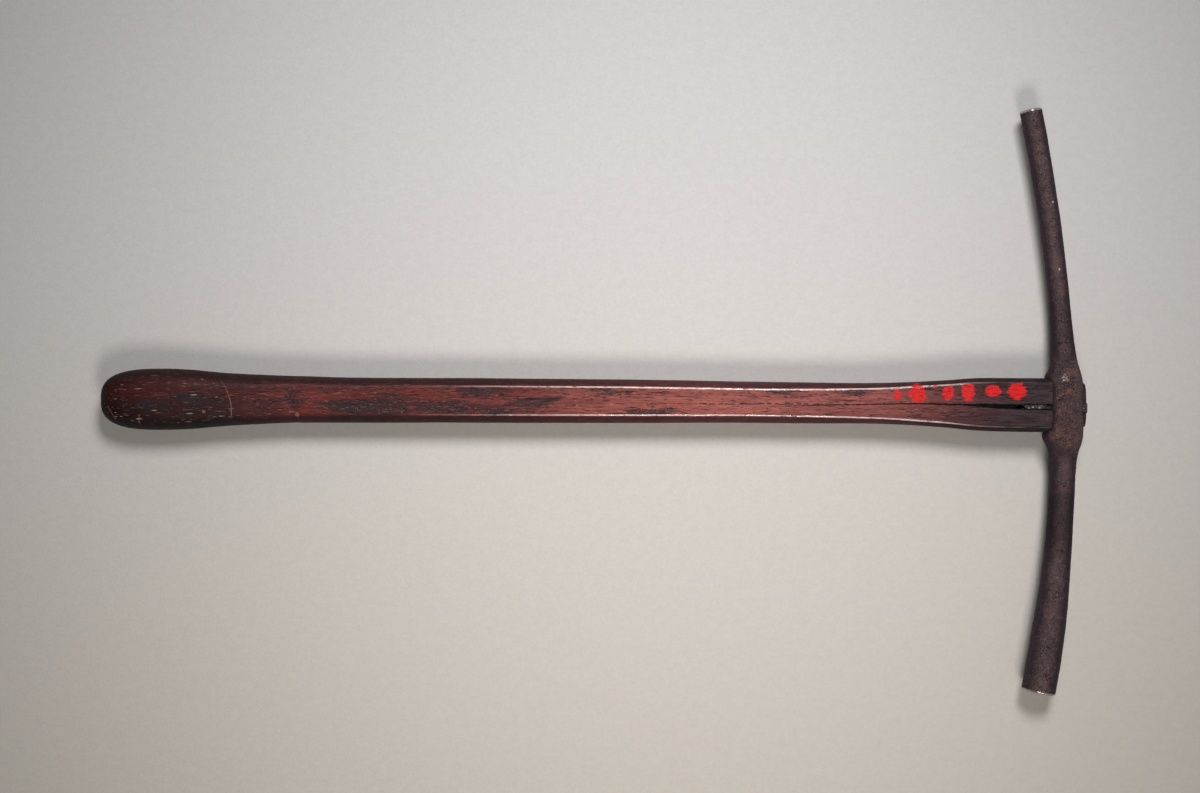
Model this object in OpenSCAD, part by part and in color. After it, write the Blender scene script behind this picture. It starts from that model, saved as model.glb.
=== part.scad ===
// Slim two-faced tack hammer with swept iron arms and a wedged hardwood handle.
// Millimetres. It lies flat: +X runs from the butt to the head, +Y along the narrow
// arm, +Z is the thickness. The origin is under the middle of the whole tool.

/* [Head] */
// butt of the handle to the middle of the eye boss
butt_to_head = 290.7; // [240:1:350]
// depth of the boss along the handle
boss_depth = 10.6; // [9:0.1:14]
// thickness of the boss across the tool
boss_thick = 15.6; // [14:0.1:20]
// length of full boss on the narrow arm's side of the handle's line
boss_run_narrow = 5.6; // [5:0.1:9]
// length of full boss on the broad arm's side of the handle's line
boss_run_broad = 8.8; // [6:0.1:12]
// length over which the boss thins into each arm
boss_fade = 9; // [7:0.5:14]
// handle's line to the narrow struck face
narrow_reach = 89.3; // [70:0.5:110]
// handle's line to the broad struck face
broad_reach = 86.8; // [70:0.5:110]
// how far the narrow tip sweeps back towards the butt
narrow_sweep = 10.2; // [0:0.2:20]
// how far the broad tip sweeps back towards the butt
broad_sweep = 7.8; // [0:0.2:20]
// power of the narrow arm's curve: 1 straight, 2 parabola
narrow_power = 1.85; // [1.3:0.05:3]
// power of the broad arm's curve: 1 straight, 2 parabola
broad_power = 2.15; // [1.3:0.05:3]
// diameter of the narrow struck end
narrow_face_d = 6.7; // [5:0.1:9]
// least diameter of the narrow arm
narrow_waist_d = 6.2; // [5:0.1:8]
// diameter of the broad struck end
broad_face_d = 10.2; // [8:0.1:13]
// least diameter of the broad arm
broad_waist_d = 7.6; // [6:0.1:9]
// extra thickness of the narrow arm at its root
narrow_root = 0.7; // [0:0.1:1.5]
// extra thickness of the broad arm at its root
broad_root = 0.1; // [0:0.1:1.5]
// worn round on the rim of each struck face
rim_round = 0.6; // [0.2:0.1:1]

/* [Eye] */
// length of the eye along the arms at the handle's side
eye_len_rear = 15.4; // [14:0.1:16]
// length of the eye along the arms at the outer side
eye_len_front = 13.4; // [12:0.1:14]
// thickness of the eye
eye_thick = 9; // [8:0.1:9.6]
// gap all round between the tenon and the eye
eye_gap = 0.05; // [0.02:0.01:0.2]
// how far the tenon stands out of the boss
tenon_proud = 0.3; // [0.1:0.1:3]

/* [Handle] */
// width of the grip in the plane of the arms
grip_width = 18.6; // [16:0.1:22]
// thickness of the grip
grip_thick = 14.8; // [12:0.1:15.6]
// length of the rounded butt, up to the widest place
butt_round = 19; // [12:0.5:26]
// butt to the end of the grip
grip_len = 58; // [45:1:80]
// width of the shaft next to the grip
shaft_width = 14.1; // [12:0.1:16]
// thickness of the shaft next to the grip
shaft_thick = 11; // [9:0.1:13]
// least width of the shaft, before the head
neck_width = 12.3; // [10:0.1:14]
// least thickness of the shaft, before the head
neck_thick = 10; // [9.7:0.1:12]
// distance from the middle of the boss back to the neck
neck_back = 57; // [45:1:70]
// distance from the middle of the boss back to the full shoulder
shoulder_back = 24; // [14:1:35]
// how far the shoulder stands out past each end of the eye's rear mouth
shoulder_lip = 0.4; // [0.3:0.1:1.2]
// thickness of the shoulder behind the head
shoulder_thick = 10.8; // [10:0.1:12]
// width taken off the shaft's flat top and bottom by each slanted side
shaft_chamfer = 2.1; // [1:0.1:3]
// height of the slanted sides, as a part of the shaft's half thickness
chamfer_steep = 0.7; // [0.3:0.05:0.8]
// width taken off the shoulder's flat top and bottom by each slanted side
shoulder_chamfer = 1.2; // [0.6:0.1:2]
// how far the handle's line leans over from butt to head
handle_lean = 1.8; // [0:0.1:3]
// power of the handle's lean: 1 straight, 2 parabola
handle_bow = 1.5; // [1:0.1:2]

/* [Wedge] */
// length of the wedge
wedge_len = 19; // [12:0.5:24]
// thickness of the wedge at its tip
wedge_tip = 1.4; // [1:0.1:2]
// thickness of the wedge at its driven end
wedge_end = 3.6; // [2.5:0.1:4.5]
// width of the wedge across the tool
wedge_height = 8.4; // [7:0.1:8.6]
// how far the wedge stands out of the tenon
wedge_proud = 0.4; // [0.1:0.1:1]
// gap each side between the wedge and the kerf
kerf_gap = 0.03; // [0.01:0.01:0.1]
// distance the split runs on behind the wedge's tip
split_len = 37; // [15:1:60]

/* [Hidden] */
overall_len = butt_to_head + boss_depth/2 + tenon_proud + wedge_proud;
narrow_tilt = atan(narrow_sweep*narrow_power/narrow_reach);
broad_tilt = atan(broad_sweep*broad_power/broad_reach);
reach_up = narrow_reach + (narrow_face_d/2 - rim_round)*sin(narrow_tilt);
reach_down = broad_reach + (broad_face_d/2 - rim_round)*sin(broad_tilt);
butt_x = -overall_len/2;
head_x = butt_x + butt_to_head;
head_y = -(reach_up - reach_down)/2;
mid_z = boss_thick/2;
tenon_end_x = head_x + boss_depth/2 + tenon_proud;
wedge_end_x = tenon_end_x + wedge_proud;
wedge_tip_x = wedge_end_x - wedge_len;
shoulder_x = head_x - boss_depth/2 - eye_gap;

function mix(a, b, u) = a + (b - a)*u;
function smooth(u) = let(v = max(0, min(1, u))) v*v*(3 - 2*v);
function powc(v, p) = sign(v)*pow(abs(v), p);

// Ring of 24 points on a superellipse with half sizes a and b and exponent n.
function oval(a, b, n) =
    [for (i = [0:23]) [a*powc(cos(15*i), 2/n), b*powc(sin(15*i), 2/n)]];

// The same 24 places on a rectangle of half sizes a and b, its corners cut by c and e
// and the slanted side between the cuts bulging by a fifth of c.
function corner_quarter(a, b, c, e) = [[a, 0], [a, (b - e)*0.5], [a, b - e],
    [a - 0.3*c, b - e/2], [a - c, b], [(a - c)*0.5, b]];
function chamfered(a, b, c, e) = let (q = corner_quarter(a, b, c, e)) concat(
    [for (p = q) p],
    [[0, b]], [for (i = [5:-1:1]) [-q[i][0], q[i][1]]],
    [for (p = q) -p],
    [[0, -b]], [for (i = [5:-1:1]) [q[i][0], -q[i][1]]]);

function blend(r, s, u) = [for (i = [0:23]) mix(r[i], s[i], u)];

// Closed solid through a list of 24-point rings.
module loft(rings) {
    n = len(rings);
    polyhedron(
        points = [for (r = rings) each r],
        faces = concat(
            [[for (i = [0:23]) i]],
            [for (k = [0:n - 2], i = [0:23])
                let (j = (i + 1) % 24, a = 24*k)
                each [[a + i, a + 24 + i, a + 24 + j], [a + i, a + 24 + j, a + j]]],
            [[for (i = [23:-1:0]) 24*(n - 1) + i]]));
}

// ---- head ----

// Half thickness of the plain arm at distance d from the handle's line, then of the
// arm and boss in the arms' plane and across it.
function arm_plain(d, run, reach, waist, face, root) =
    mix(waist, face, smooth((d/reach - 0.32)/0.68))/2
    + root*(1 - smooth((d - run)/(3*boss_fade)));
function arm_half(d, run, reach, waist, face, root) =
    mix(boss_depth/2, arm_plain(d, run, reach, waist, face, root), smooth((d - run)/boss_fade));
function arm_half_z(d, run, reach, waist, face, root) =
    mix(boss_thick/2, arm_plain(d, run, reach, waist, face, root),
        smooth((d - run)/(boss_fade + 2)));

// Ring on an arm: side is +1 for the narrow arm and -1 for the broad one; inset
// shrinks the ring and pull draws it back along the arm, for the worn rim.
function arm_ring(side, t, pull, inset, reach, sweep, power, run, waist, face, root) = let (
    d = t*reach,
    tilt = t > 0 ? atan(sweep*power*pow(t, power - 1)/reach) : 0,
    cx = head_x - sweep*pow(t, power) + pull*sin(tilt),
    cy = head_y + side*(d - pull*cos(tilt)),
    a = arm_half(d, run, reach, waist, face, root) - inset,
    b = arm_half_z(d, run, reach, waist, face, root) - inset,
    n = mix(2.6, 2, smooth((d - run)/boss_fade)))
    [for (p = oval(a, b, n)) [cx + p[0]*cos(tilt), cy + side*p[0]*sin(tilt), mid_z + p[1]]];

// Places along an arm, closer together where the boss thins.
function arm_steps(run, reach) = concat(
    [for (i = [1:2]) run*i/2.5],
    [for (i = [0:9]) run + boss_fade*i/9],
    [for (i = [1:11]) mix(run + boss_fade, reach - rim_round, i/11)]);

function narrow_ring(t, pull, inset) =
    arm_ring(1, t, pull, inset, narrow_reach, narrow_sweep, narrow_power,
        boss_run_narrow, narrow_waist_d, narrow_face_d, narrow_root);
function broad_ring(t, pull, inset) =
    arm_ring(-1, t, pull, inset, broad_reach, broad_sweep, broad_power,
        boss_run_broad, broad_waist_d, broad_face_d, broad_root);

function narrow_rings() = concat(
    [for (d = arm_steps(boss_run_narrow, narrow_reach)) narrow_ring(d/narrow_reach, 0, 0)],
    [narrow_ring(1, rim_round*0.3, rim_round*0.3), narrow_ring(1, 0, rim_round)]);
function broad_rings() = concat(
    [for (d = arm_steps(boss_run_broad, broad_reach)) broad_ring(d/broad_reach, 0, 0)],
    [broad_ring(1, rim_round*0.3, rim_round*0.3), broad_ring(1, 0, rim_round)]);

function reversed(list) = [for (i = [len(list) - 1:-1:0]) list[i]];

// Section of the eye or, with a gap taken off, of the tenon at place x.
function eye_len_at(x) = mix(eye_len_rear, eye_len_front,
    (x - head_x + boss_depth/2)/boss_depth);
function eye_ring(x, gap) =
    [for (p = oval(eye_len_at(x)/2 - gap, eye_thick/2 - gap, 3.4)) [x, head_y + p[0], mid_z + p[1]]];

// Places from the boss's rear to its front where the eye and the tenon both have a ring,
// so that their facets match.
eye_at = [for (i = [-2:2]) head_x + i*boss_depth/4];

module head() {
    color([0.2, 0.16, 0.16]) difference() {
        loft(concat(reversed(narrow_rings()), [narrow_ring(0, 0, 0)], broad_rings()));
        loft([for (x = concat([head_x - boss_depth], eye_at, [head_x + boss_depth])) eye_ring(x, 0)]);
    }
}

// ---- handle ----

grip_at = butt_round;
neck_at = butt_to_head - neck_back;
shoulder_at = butt_to_head - shoulder_back;
shoulder_width = eye_len_rear + 2*shoulder_lip;

// Size at distance s from the butt, from the grip, shaft, neck and shoulder sizes.
function along(s, grip, shaft, neck, shoulder) =
    s < grip_len ? mix(grip, shaft, smooth((s - grip_at)/(grip_len - grip_at)))
    : s < neck_at ? mix(shaft, neck, (s - grip_len)/(neck_at - grip_len))
    : mix(neck, shoulder, smooth((s - neck_at)/(shoulder_at - neck_at)));

function line_y(s) = head_y + handle_lean*(1 - pow(s/butt_to_head, handle_bow));

function handle_ring(s, swell) = let (
    a = swell*along(s, grip_width, shaft_width, neck_width, shoulder_width)/2,
    b = swell*along(s, grip_thick, shaft_thick, neck_thick, shoulder_thick)/2,
    c = mix(shaft_chamfer, shoulder_chamfer, smooth((s - neck_at)/(shoulder_at - neck_at))),
    squareness = smooth((s - grip_at)/(1.5*(grip_len - grip_at))),
    flat = chamfered(a, b, c, chamfer_steep*b))
    [for (p = blend(oval(a, b, 2.3), flat, squareness)) [butt_x + s, line_y(s) + p[0], mid_z + p[1]]];

module handle() {
    dome = [for (b = [8:8.2:84]) [butt_round*(1 - pow(cos(b), 2/3)), pow(sin(b), 2/3)]];
    grip = [for (i = [0:10]) mix(grip_at, grip_len*1.25, i/10)];
    shaft = [for (i = [1:8]) mix(grip_len*1.25, neck_at, i/8)];
    neck = [for (i = [1:8]) mix(neck_at, shoulder_at, i/8)];
    color([0.42, 0.2, 0.17]) difference() {
        loft(concat(
            [for (p = dome) handle_ring(p[0] - dome[0][0], p[1])],
            [for (s = concat(grip, shaft, neck)) handle_ring(s, 1)],
            [handle_ring(shoulder_x - butt_x, 1)],
            [for (x = concat([shoulder_x], [for (i = [1:4]) eye_at[i]], [tenon_end_x])) eye_ring(x, eye_gap)]));
        kerf();
    }
}

// Opening for the wedge, running on into a split that narrows to nothing.
module kerf() {
    tip = wedge_tip/2 + kerf_gap;
    end = wedge_end/2 + kerf_gap;
    flare = (end - tip)/wedge_len;
    split_x = wedge_tip_x - split_len;
    translate([0, 0, -1]) linear_extrude(height = boss_thick + 2) polygon([
        [split_x, line_y(split_x - butt_x)],
        [wedge_tip_x, head_y - tip], [wedge_end_x + 2, head_y - end - 2*flare],
        [wedge_end_x + 2, head_y + end + 2*flare], [wedge_tip_x, head_y + tip]]);
}

// ---- wedge ----

module wedge() {
    color([0.3, 0.24, 0.22])
        translate([0, 0, mid_z - wedge_height/2]) linear_extrude(height = wedge_height)
            polygon([
                [wedge_tip_x, head_y - wedge_tip/2], [wedge_end_x, head_y - wedge_end/2],
                [wedge_end_x, head_y + wedge_end/2], [wedge_tip_x, head_y + wedge_tip/2]]);
}

head();
handle();
wedge();
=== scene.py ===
"""A slim two-faced tack hammer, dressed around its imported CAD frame.

The hammer lies flat: +X runs from the butt of the handle to the head, +Y along the
narrow arm and +Z up through its thickness. Shapes are worked out in millimetres and
written to the meshes in metres.
"""

from __future__ import annotations

import logging
import math
from dataclasses import dataclass, field
from enum import Enum
from typing import Callable, Sequence

import bmesh
import bpy
import numpy as np
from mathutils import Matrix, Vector

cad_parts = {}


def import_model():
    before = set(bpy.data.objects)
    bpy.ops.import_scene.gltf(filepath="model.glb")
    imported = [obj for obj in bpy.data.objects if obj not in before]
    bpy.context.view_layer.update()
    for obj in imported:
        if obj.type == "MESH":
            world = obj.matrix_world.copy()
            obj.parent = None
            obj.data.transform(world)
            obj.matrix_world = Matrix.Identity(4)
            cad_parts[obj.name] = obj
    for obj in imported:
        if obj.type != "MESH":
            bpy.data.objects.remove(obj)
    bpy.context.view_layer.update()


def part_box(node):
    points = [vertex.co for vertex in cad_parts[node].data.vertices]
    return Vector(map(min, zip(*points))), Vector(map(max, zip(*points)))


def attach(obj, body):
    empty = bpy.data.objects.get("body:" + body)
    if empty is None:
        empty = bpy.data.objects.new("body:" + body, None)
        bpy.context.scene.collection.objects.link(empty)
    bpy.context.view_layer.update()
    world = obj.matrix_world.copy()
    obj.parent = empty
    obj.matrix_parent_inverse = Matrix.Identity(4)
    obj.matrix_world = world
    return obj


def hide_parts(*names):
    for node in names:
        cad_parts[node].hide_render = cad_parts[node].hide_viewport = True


LOG = logging.getLogger("tack_hammer")
MM = 0.001
# Height of the hammer's middle plane in millimetres, half the boss's thickness.
MIDDLE_Z = 7.8
ALONG_X = np.array([1.0, 0.0, 0.0])
Stations = Sequence[tuple[float, float]]
Span = tuple[float, float]
Triple = tuple[float, float, float]
Colour = tuple[float, float, float, float]


# ---------------------------------------------------------------- number helpers


def mix(a: np.ndarray | float, b: np.ndarray | float, u: np.ndarray | float) -> np.ndarray:
    """Straight line from a at u = 0 to b at u = 1."""
    return np.asarray(a + (b - a) * u)


def smooth(u: np.ndarray | float) -> np.ndarray:
    """Smooth step: 3u^2 - 2u^3 of u held between 0 and 1."""
    v = np.clip(u, 0.0, 1.0)
    return v * v * (3.0 - 2.0 * v)


def signed_power(v: np.ndarray, p: float | np.ndarray) -> np.ndarray:
    """|v|^p with the sign of v."""
    return np.sign(v) * np.abs(v) ** p


def through(stations: Stations, at: np.ndarray) -> np.ndarray:
    """Smooth curve through stations.

    A cubic Hermite curve between neighbouring stations, whose slope at each station is
    the weighted mean of the slopes on either side, and zero where they change sign.

    Args:
        stations: pairs of (place, value), places rising.
        at: places to read the curve at.

    Returns:
        The curve's value at each place.
    """
    x, y = (np.array(column, float) for column in zip(*stations))
    h, slope = np.diff(x), np.diff(y) / np.diff(x)
    same = slope[:-1] * slope[1:] > 0
    w1, w2 = 2 * h[1:] + h[:-1], h[1:] + 2 * h[:-1]
    safe = np.where(same, slope[:-1], 1.0), np.where(same, slope[1:], 1.0)
    inner = np.where(same, (w1 + w2) / (w1 / safe[0] + w2 / safe[1]), 0.0)
    m = np.concatenate([[slope[0]], inner, [slope[-1]]])
    p = np.clip(at, x[0], x[-1])
    k = np.clip(np.searchsorted(x, p, side="right") - 1, 0, len(h) - 1)
    t = (p - x[k]) / h[k]
    return (
        (1 + 2 * t) * (1 - t) ** 2 * y[k]
        + t * (1 - t) ** 2 * h[k] * m[k]
        + t * t * (3 - 2 * t) * y[k + 1]
        + t * t * (t - 1) * h[k] * m[k + 1]
    )


def bump(x: np.ndarray, centre: float, half: float) -> np.ndarray:
    """Bell of height 1: exp(-((x - centre) / half)^2)."""
    return np.exp(-(((x - centre) / half) ** 2))


def linear(r: float, g: float, b: float) -> Colour:
    """Scene-linear colour of a display colour given from 0 to 255.

    Args:
        r: red.
        g: green.
        b: blue.

    Returns:
        The colour, with an alpha of 1.
    """
    c = [v / 255.0 for v in (r, g, b)]
    low = [v / 12.92 if v <= 0.04045 else ((v + 0.055) / 1.055) ** 2.4 for v in c]
    return (low[0], low[1], low[2], 1.0)


class LatticeNoise:
    """Smooth random field: values on a repeating cube of points, blended between them."""

    def __init__(self, seed: int, size: int = 64) -> None:
        """Draws the lattice.

        Args:
            seed: makes the field the same on every run.
            size: points along each side before the field repeats; a power of two.
        """
        self.size = size
        self.values = np.random.default_rng(seed).random((size, size, size)) * 2.0 - 1.0

    def at(self, p: np.ndarray) -> np.ndarray:
        """Field at points p (..., 3): the eight lattice values round each point, blended
        with the smooth step of the point's place between them. Ranges over -1 to 1.

        Args:
            p: points (..., 3), in lattice steps.

        Returns:
            The field, (...).
        """
        whole = np.floor(p)
        f = p - whole
        i = whole.astype(np.int64) & (self.size - 1)
        ends = (i, (i + 1) & (self.size - 1))
        ux, uy, uz = np.moveaxis(f * f * (3 - 2 * f), -1, 0)
        corners = [self.values[ends[a][..., 0], ends[b][..., 1], ends[c][..., 2]]
                   for c in (0, 1) for b in (0, 1) for a in (0, 1)]
        c00, c10, c01, c11 = (mix(corners[k], corners[k + 1], ux) for k in (0, 2, 4, 6))
        return mix(mix(c00, c10, uy), mix(c01, c11, uy), uz)

    def layers(self, p: np.ndarray, size: float | Triple, count: int) -> np.ndarray:
        """Sum of count fields, each half as coarse and half as strong as the one before.

        Args:
            p: points (..., 3) in millimetres.
            size: size of the coarsest lump, one number or one along each axis.
            count: how many fields.

        Returns:
            The sum, brought back to about -1 to 1.
        """
        total, weight, q = np.zeros(p.shape[:-1]), 0.0, p / np.asarray(size, float)
        for k in range(count):
            total += 0.5**k * self.at(q * 2.0**k + 17.3 * k)
            weight += 0.5**k
        return total / weight

    def pits(self, p: np.ndarray, spacing: float, reach: float) -> np.ndarray:
        """Scattered round hollows, one in each cube of side spacing.

        Each hollow's middle, size and depth come from the lattice values of its cube,
        and it falls off as (1 - (distance / size)^2)^2.

        Args:
            p: points (..., 3) in millimetres.
            spacing: side of the cubes.
            reach: largest hollow's radius, as a part of spacing; at most 1.

        Returns:
            Depth from 0 to 1 at each point, the deepest hollow counting.
        """
        q = p / spacing
        base = np.floor(q).astype(np.int64)
        deepest = np.zeros(p.shape[:-1])
        steps = np.array(np.meshgrid([-1, 0, 1], [-1, 0, 1], [-1, 0, 1])).reshape(3, -1).T
        for step in steps:
            cell = base + step
            i = cell & (self.size - 1)
            a = self.values[i[..., 0], i[..., 1], i[..., 2]]
            b = self.values[i[..., 1], i[..., 2], i[..., 0]]
            c = self.values[i[..., 2], i[..., 0], i[..., 1]]
            middle = cell + 0.5 + 0.4 * np.stack([a, b, c], -1)
            radius = reach * (0.35 + 0.65 * np.abs(a * c))
            away = np.sum((q - middle) ** 2, -1) / radius**2
            deepest = np.maximum(deepest, (0.3 + 0.7 * np.abs(b)) * np.clip(1 - away, 0, 1) ** 2)
        return deepest


# ---------------------------------------------------------------- mesh helpers


@dataclass
class Patch:
    """Vertices, quads, triangles and per-vertex marks of one stretch of surface."""

    points: np.ndarray
    quads: np.ndarray
    tris: np.ndarray = field(default_factory=lambda: np.zeros((0, 3), int))
    marks: dict[str, np.ndarray] = field(default_factory=dict)


def grid_patch(points: np.ndarray, flip: bool = False, closed: bool = False, **marks: np.ndarray) -> Patch:
    """Surface over a grid of points.

    Args:
        points: (rows, columns, 3) in millimetres.
        flip: turns the faces over.
        closed: joins the last column to the first.
        marks: values at each grid point, by attribute name.

    Returns:
        The patch, with one quad between each four neighbours.
    """
    rows, cols = points.shape[:2]
    index = np.arange(rows * cols).reshape(rows, cols)
    if closed:
        index = np.concatenate([index, index[:, :1]], 1)
    quads = np.stack([index[:-1, :-1], index[1:, :-1], index[1:, 1:], index[:-1, 1:]], -1).reshape(-1, 4)
    flat = {name: np.broadcast_to(value, (rows, cols)).reshape(-1) for name, value in marks.items()}
    return Patch(points.reshape(-1, 3), quads[:, ::-1] if flip else quads, marks=flat)


def cap_patch(loop: np.ndarray, outward: np.ndarray, rise: float, rough: np.ndarray | float = 0.0,
              flip: bool = False, **marks: np.ndarray) -> Patch:
    """Closed end over a loop, as rings that shrink to the loop's middle.

    Each ring is the loop scaled about its mean by 1 - k and lifted along outward by
    rise * (1 - (1 - k)^2).

    Args:
        loop: (n, 3) points round the edge.
        outward: unit vector out of the end.
        rise: height of the crown at the middle.
        rough: (n,) uneven lift of the face, faded out at the edge and middle.
        flip: turns the faces over.
        marks: values round the edge, by attribute name, carried to the middle.

    Returns:
        The patch, closed by triangles at the middle.
    """
    steps = np.array([0.0, 0.03, 0.08, 0.16, 0.28, 0.42, 0.58, 0.74, 0.88])
    centre, n = loop.mean(0), len(loop)
    lift = rise * (1 - (1 - steps) ** 2)
    uneven = np.sin(np.pi * np.clip(steps / 0.9, 0, 1))[:, None] * np.broadcast_to(rough, n)
    rings = centre + (loop - centre)[None] * (1 - steps)[:, None, None]
    rings = rings + (lift[:, None] + uneven)[..., None] * outward
    patch = grid_patch(rings, flip, closed=True, **marks)
    middle = (centre + outward * rise)[None]
    last = (len(steps) - 1) * n + np.arange(n)
    fan = np.stack([last, np.full(n, len(steps) * n), np.roll(last, -1)], -1)
    return Patch(
        np.concatenate([patch.points, middle]),
        patch.quads,
        fan[:, ::-1] if flip else fan,
        {k: np.append(v, v[-n:].mean()) for k, v in patch.marks.items()},
    )


def add_object(name: str, data: bpy.types.ID) -> bpy.types.Object:
    """A new object in the scene that holds data.

    Args:
        name: object's name.
        data: its mesh, light or camera.

    Returns:
        The object.
    """
    made = bpy.data.objects.new(name, data)
    bpy.context.scene.collection.objects.link(made)
    return made


def shade(mesh: bpy.types.Mesh, sharp: float) -> None:
    """Smooth shading, broken at edges sharper than so many degrees."""
    mesh.shade_smooth()
    mesh.set_sharp_from_angle(angle=math.radians(sharp))


def mesh_object(name: str, patches: Sequence[Patch], sharp: float) -> bpy.types.Object:
    """One closed object from several patches.

    Args:
        name: object's name.
        patches: stretches of surface that meet at equal points.
        sharp: angle in degrees over which an edge is shaded sharp.

    Returns:
        The object, in metres, with its doubles merged and its faces outwards.
    """
    starts = np.cumsum([0] + [len(p.points) for p in patches])
    quads = np.concatenate([p.quads + s for p, s in zip(patches, starts)])
    tris = np.concatenate([p.tris + s for p, s in zip(patches, starts)])
    points = np.concatenate([p.points for p in patches]) * MM
    mesh = bpy.data.meshes.new(name)
    mesh.from_pydata(points.astype(np.float32), [], quads.tolist() + tris.tolist())
    for mark in sorted({k for p in patches for k in p.marks}):
        values = np.concatenate([p.marks.get(mark, np.zeros(len(p.points))) for p in patches])
        mesh.attributes.new(mark, "FLOAT", "POINT").data.foreach_set("value", values.astype(np.float32))
    work = bmesh.new()
    work.from_mesh(mesh)
    bmesh.ops.remove_doubles(work, verts=work.verts, dist=2e-7)
    bmesh.ops.dissolve_degenerate(work, edges=work.edges, dist=1e-8)
    bmesh.ops.recalc_face_normals(work, faces=work.faces)
    open_edges = sum(1 for e in work.edges if not e.is_manifold)
    work.to_mesh(mesh)
    work.free()
    shade(mesh, sharp)
    LOG.info("%s: %d faces, %d open edges", name, len(mesh.polygons), open_edges)
    return add_object(name, mesh)


# ---------------------------------------------------------------- node helpers


class SocketKind(Enum):
    """Kinds of socket that a node group shows."""

    NUMBER = "NodeSocketFloat"
    VECTOR = "NodeSocketVector"


def operator(operation: str, flipped: bool = False) -> Callable[[Wire, Value], Wire]:
    """A Math node as a method of Wire, with its two values flipped or not.

    Args:
        operation: the node's operation.
        flipped: puts the other value first.

    Returns:
        The method.
    """

    def apply(wire: Wire, other: Value) -> Wire:
        """The node's result for wire and other."""
        return wire.graph.math(operation, *((other, wire) if flipped else (wire, other)))

    return apply


@dataclass(frozen=True)
class Wire:
    """A value inside a shader, which adds, subtracts and multiplies as a number does."""

    graph: Graph
    socket: bpy.types.NodeSocket

    __add__ = operator("ADD")
    __sub__ = operator("SUBTRACT")
    __rsub__ = operator("SUBTRACT", flipped=True)
    __mul__ = operator("MULTIPLY")
    __truediv__ = operator("DIVIDE")
    __rtruediv__ = operator("DIVIDE", flipped=True)
    above = operator("GREATER_THAN")
    below = operator("LESS_THAN")

    def __abs__(self) -> Wire:
        """self without its sign."""
        return self.graph.math("ABSOLUTE", self)

    def root(self) -> Wire:
        """Square root of self."""
        return self.graph.math("SQRT", self)


Value = Wire | float | tuple[float, ...]


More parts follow.
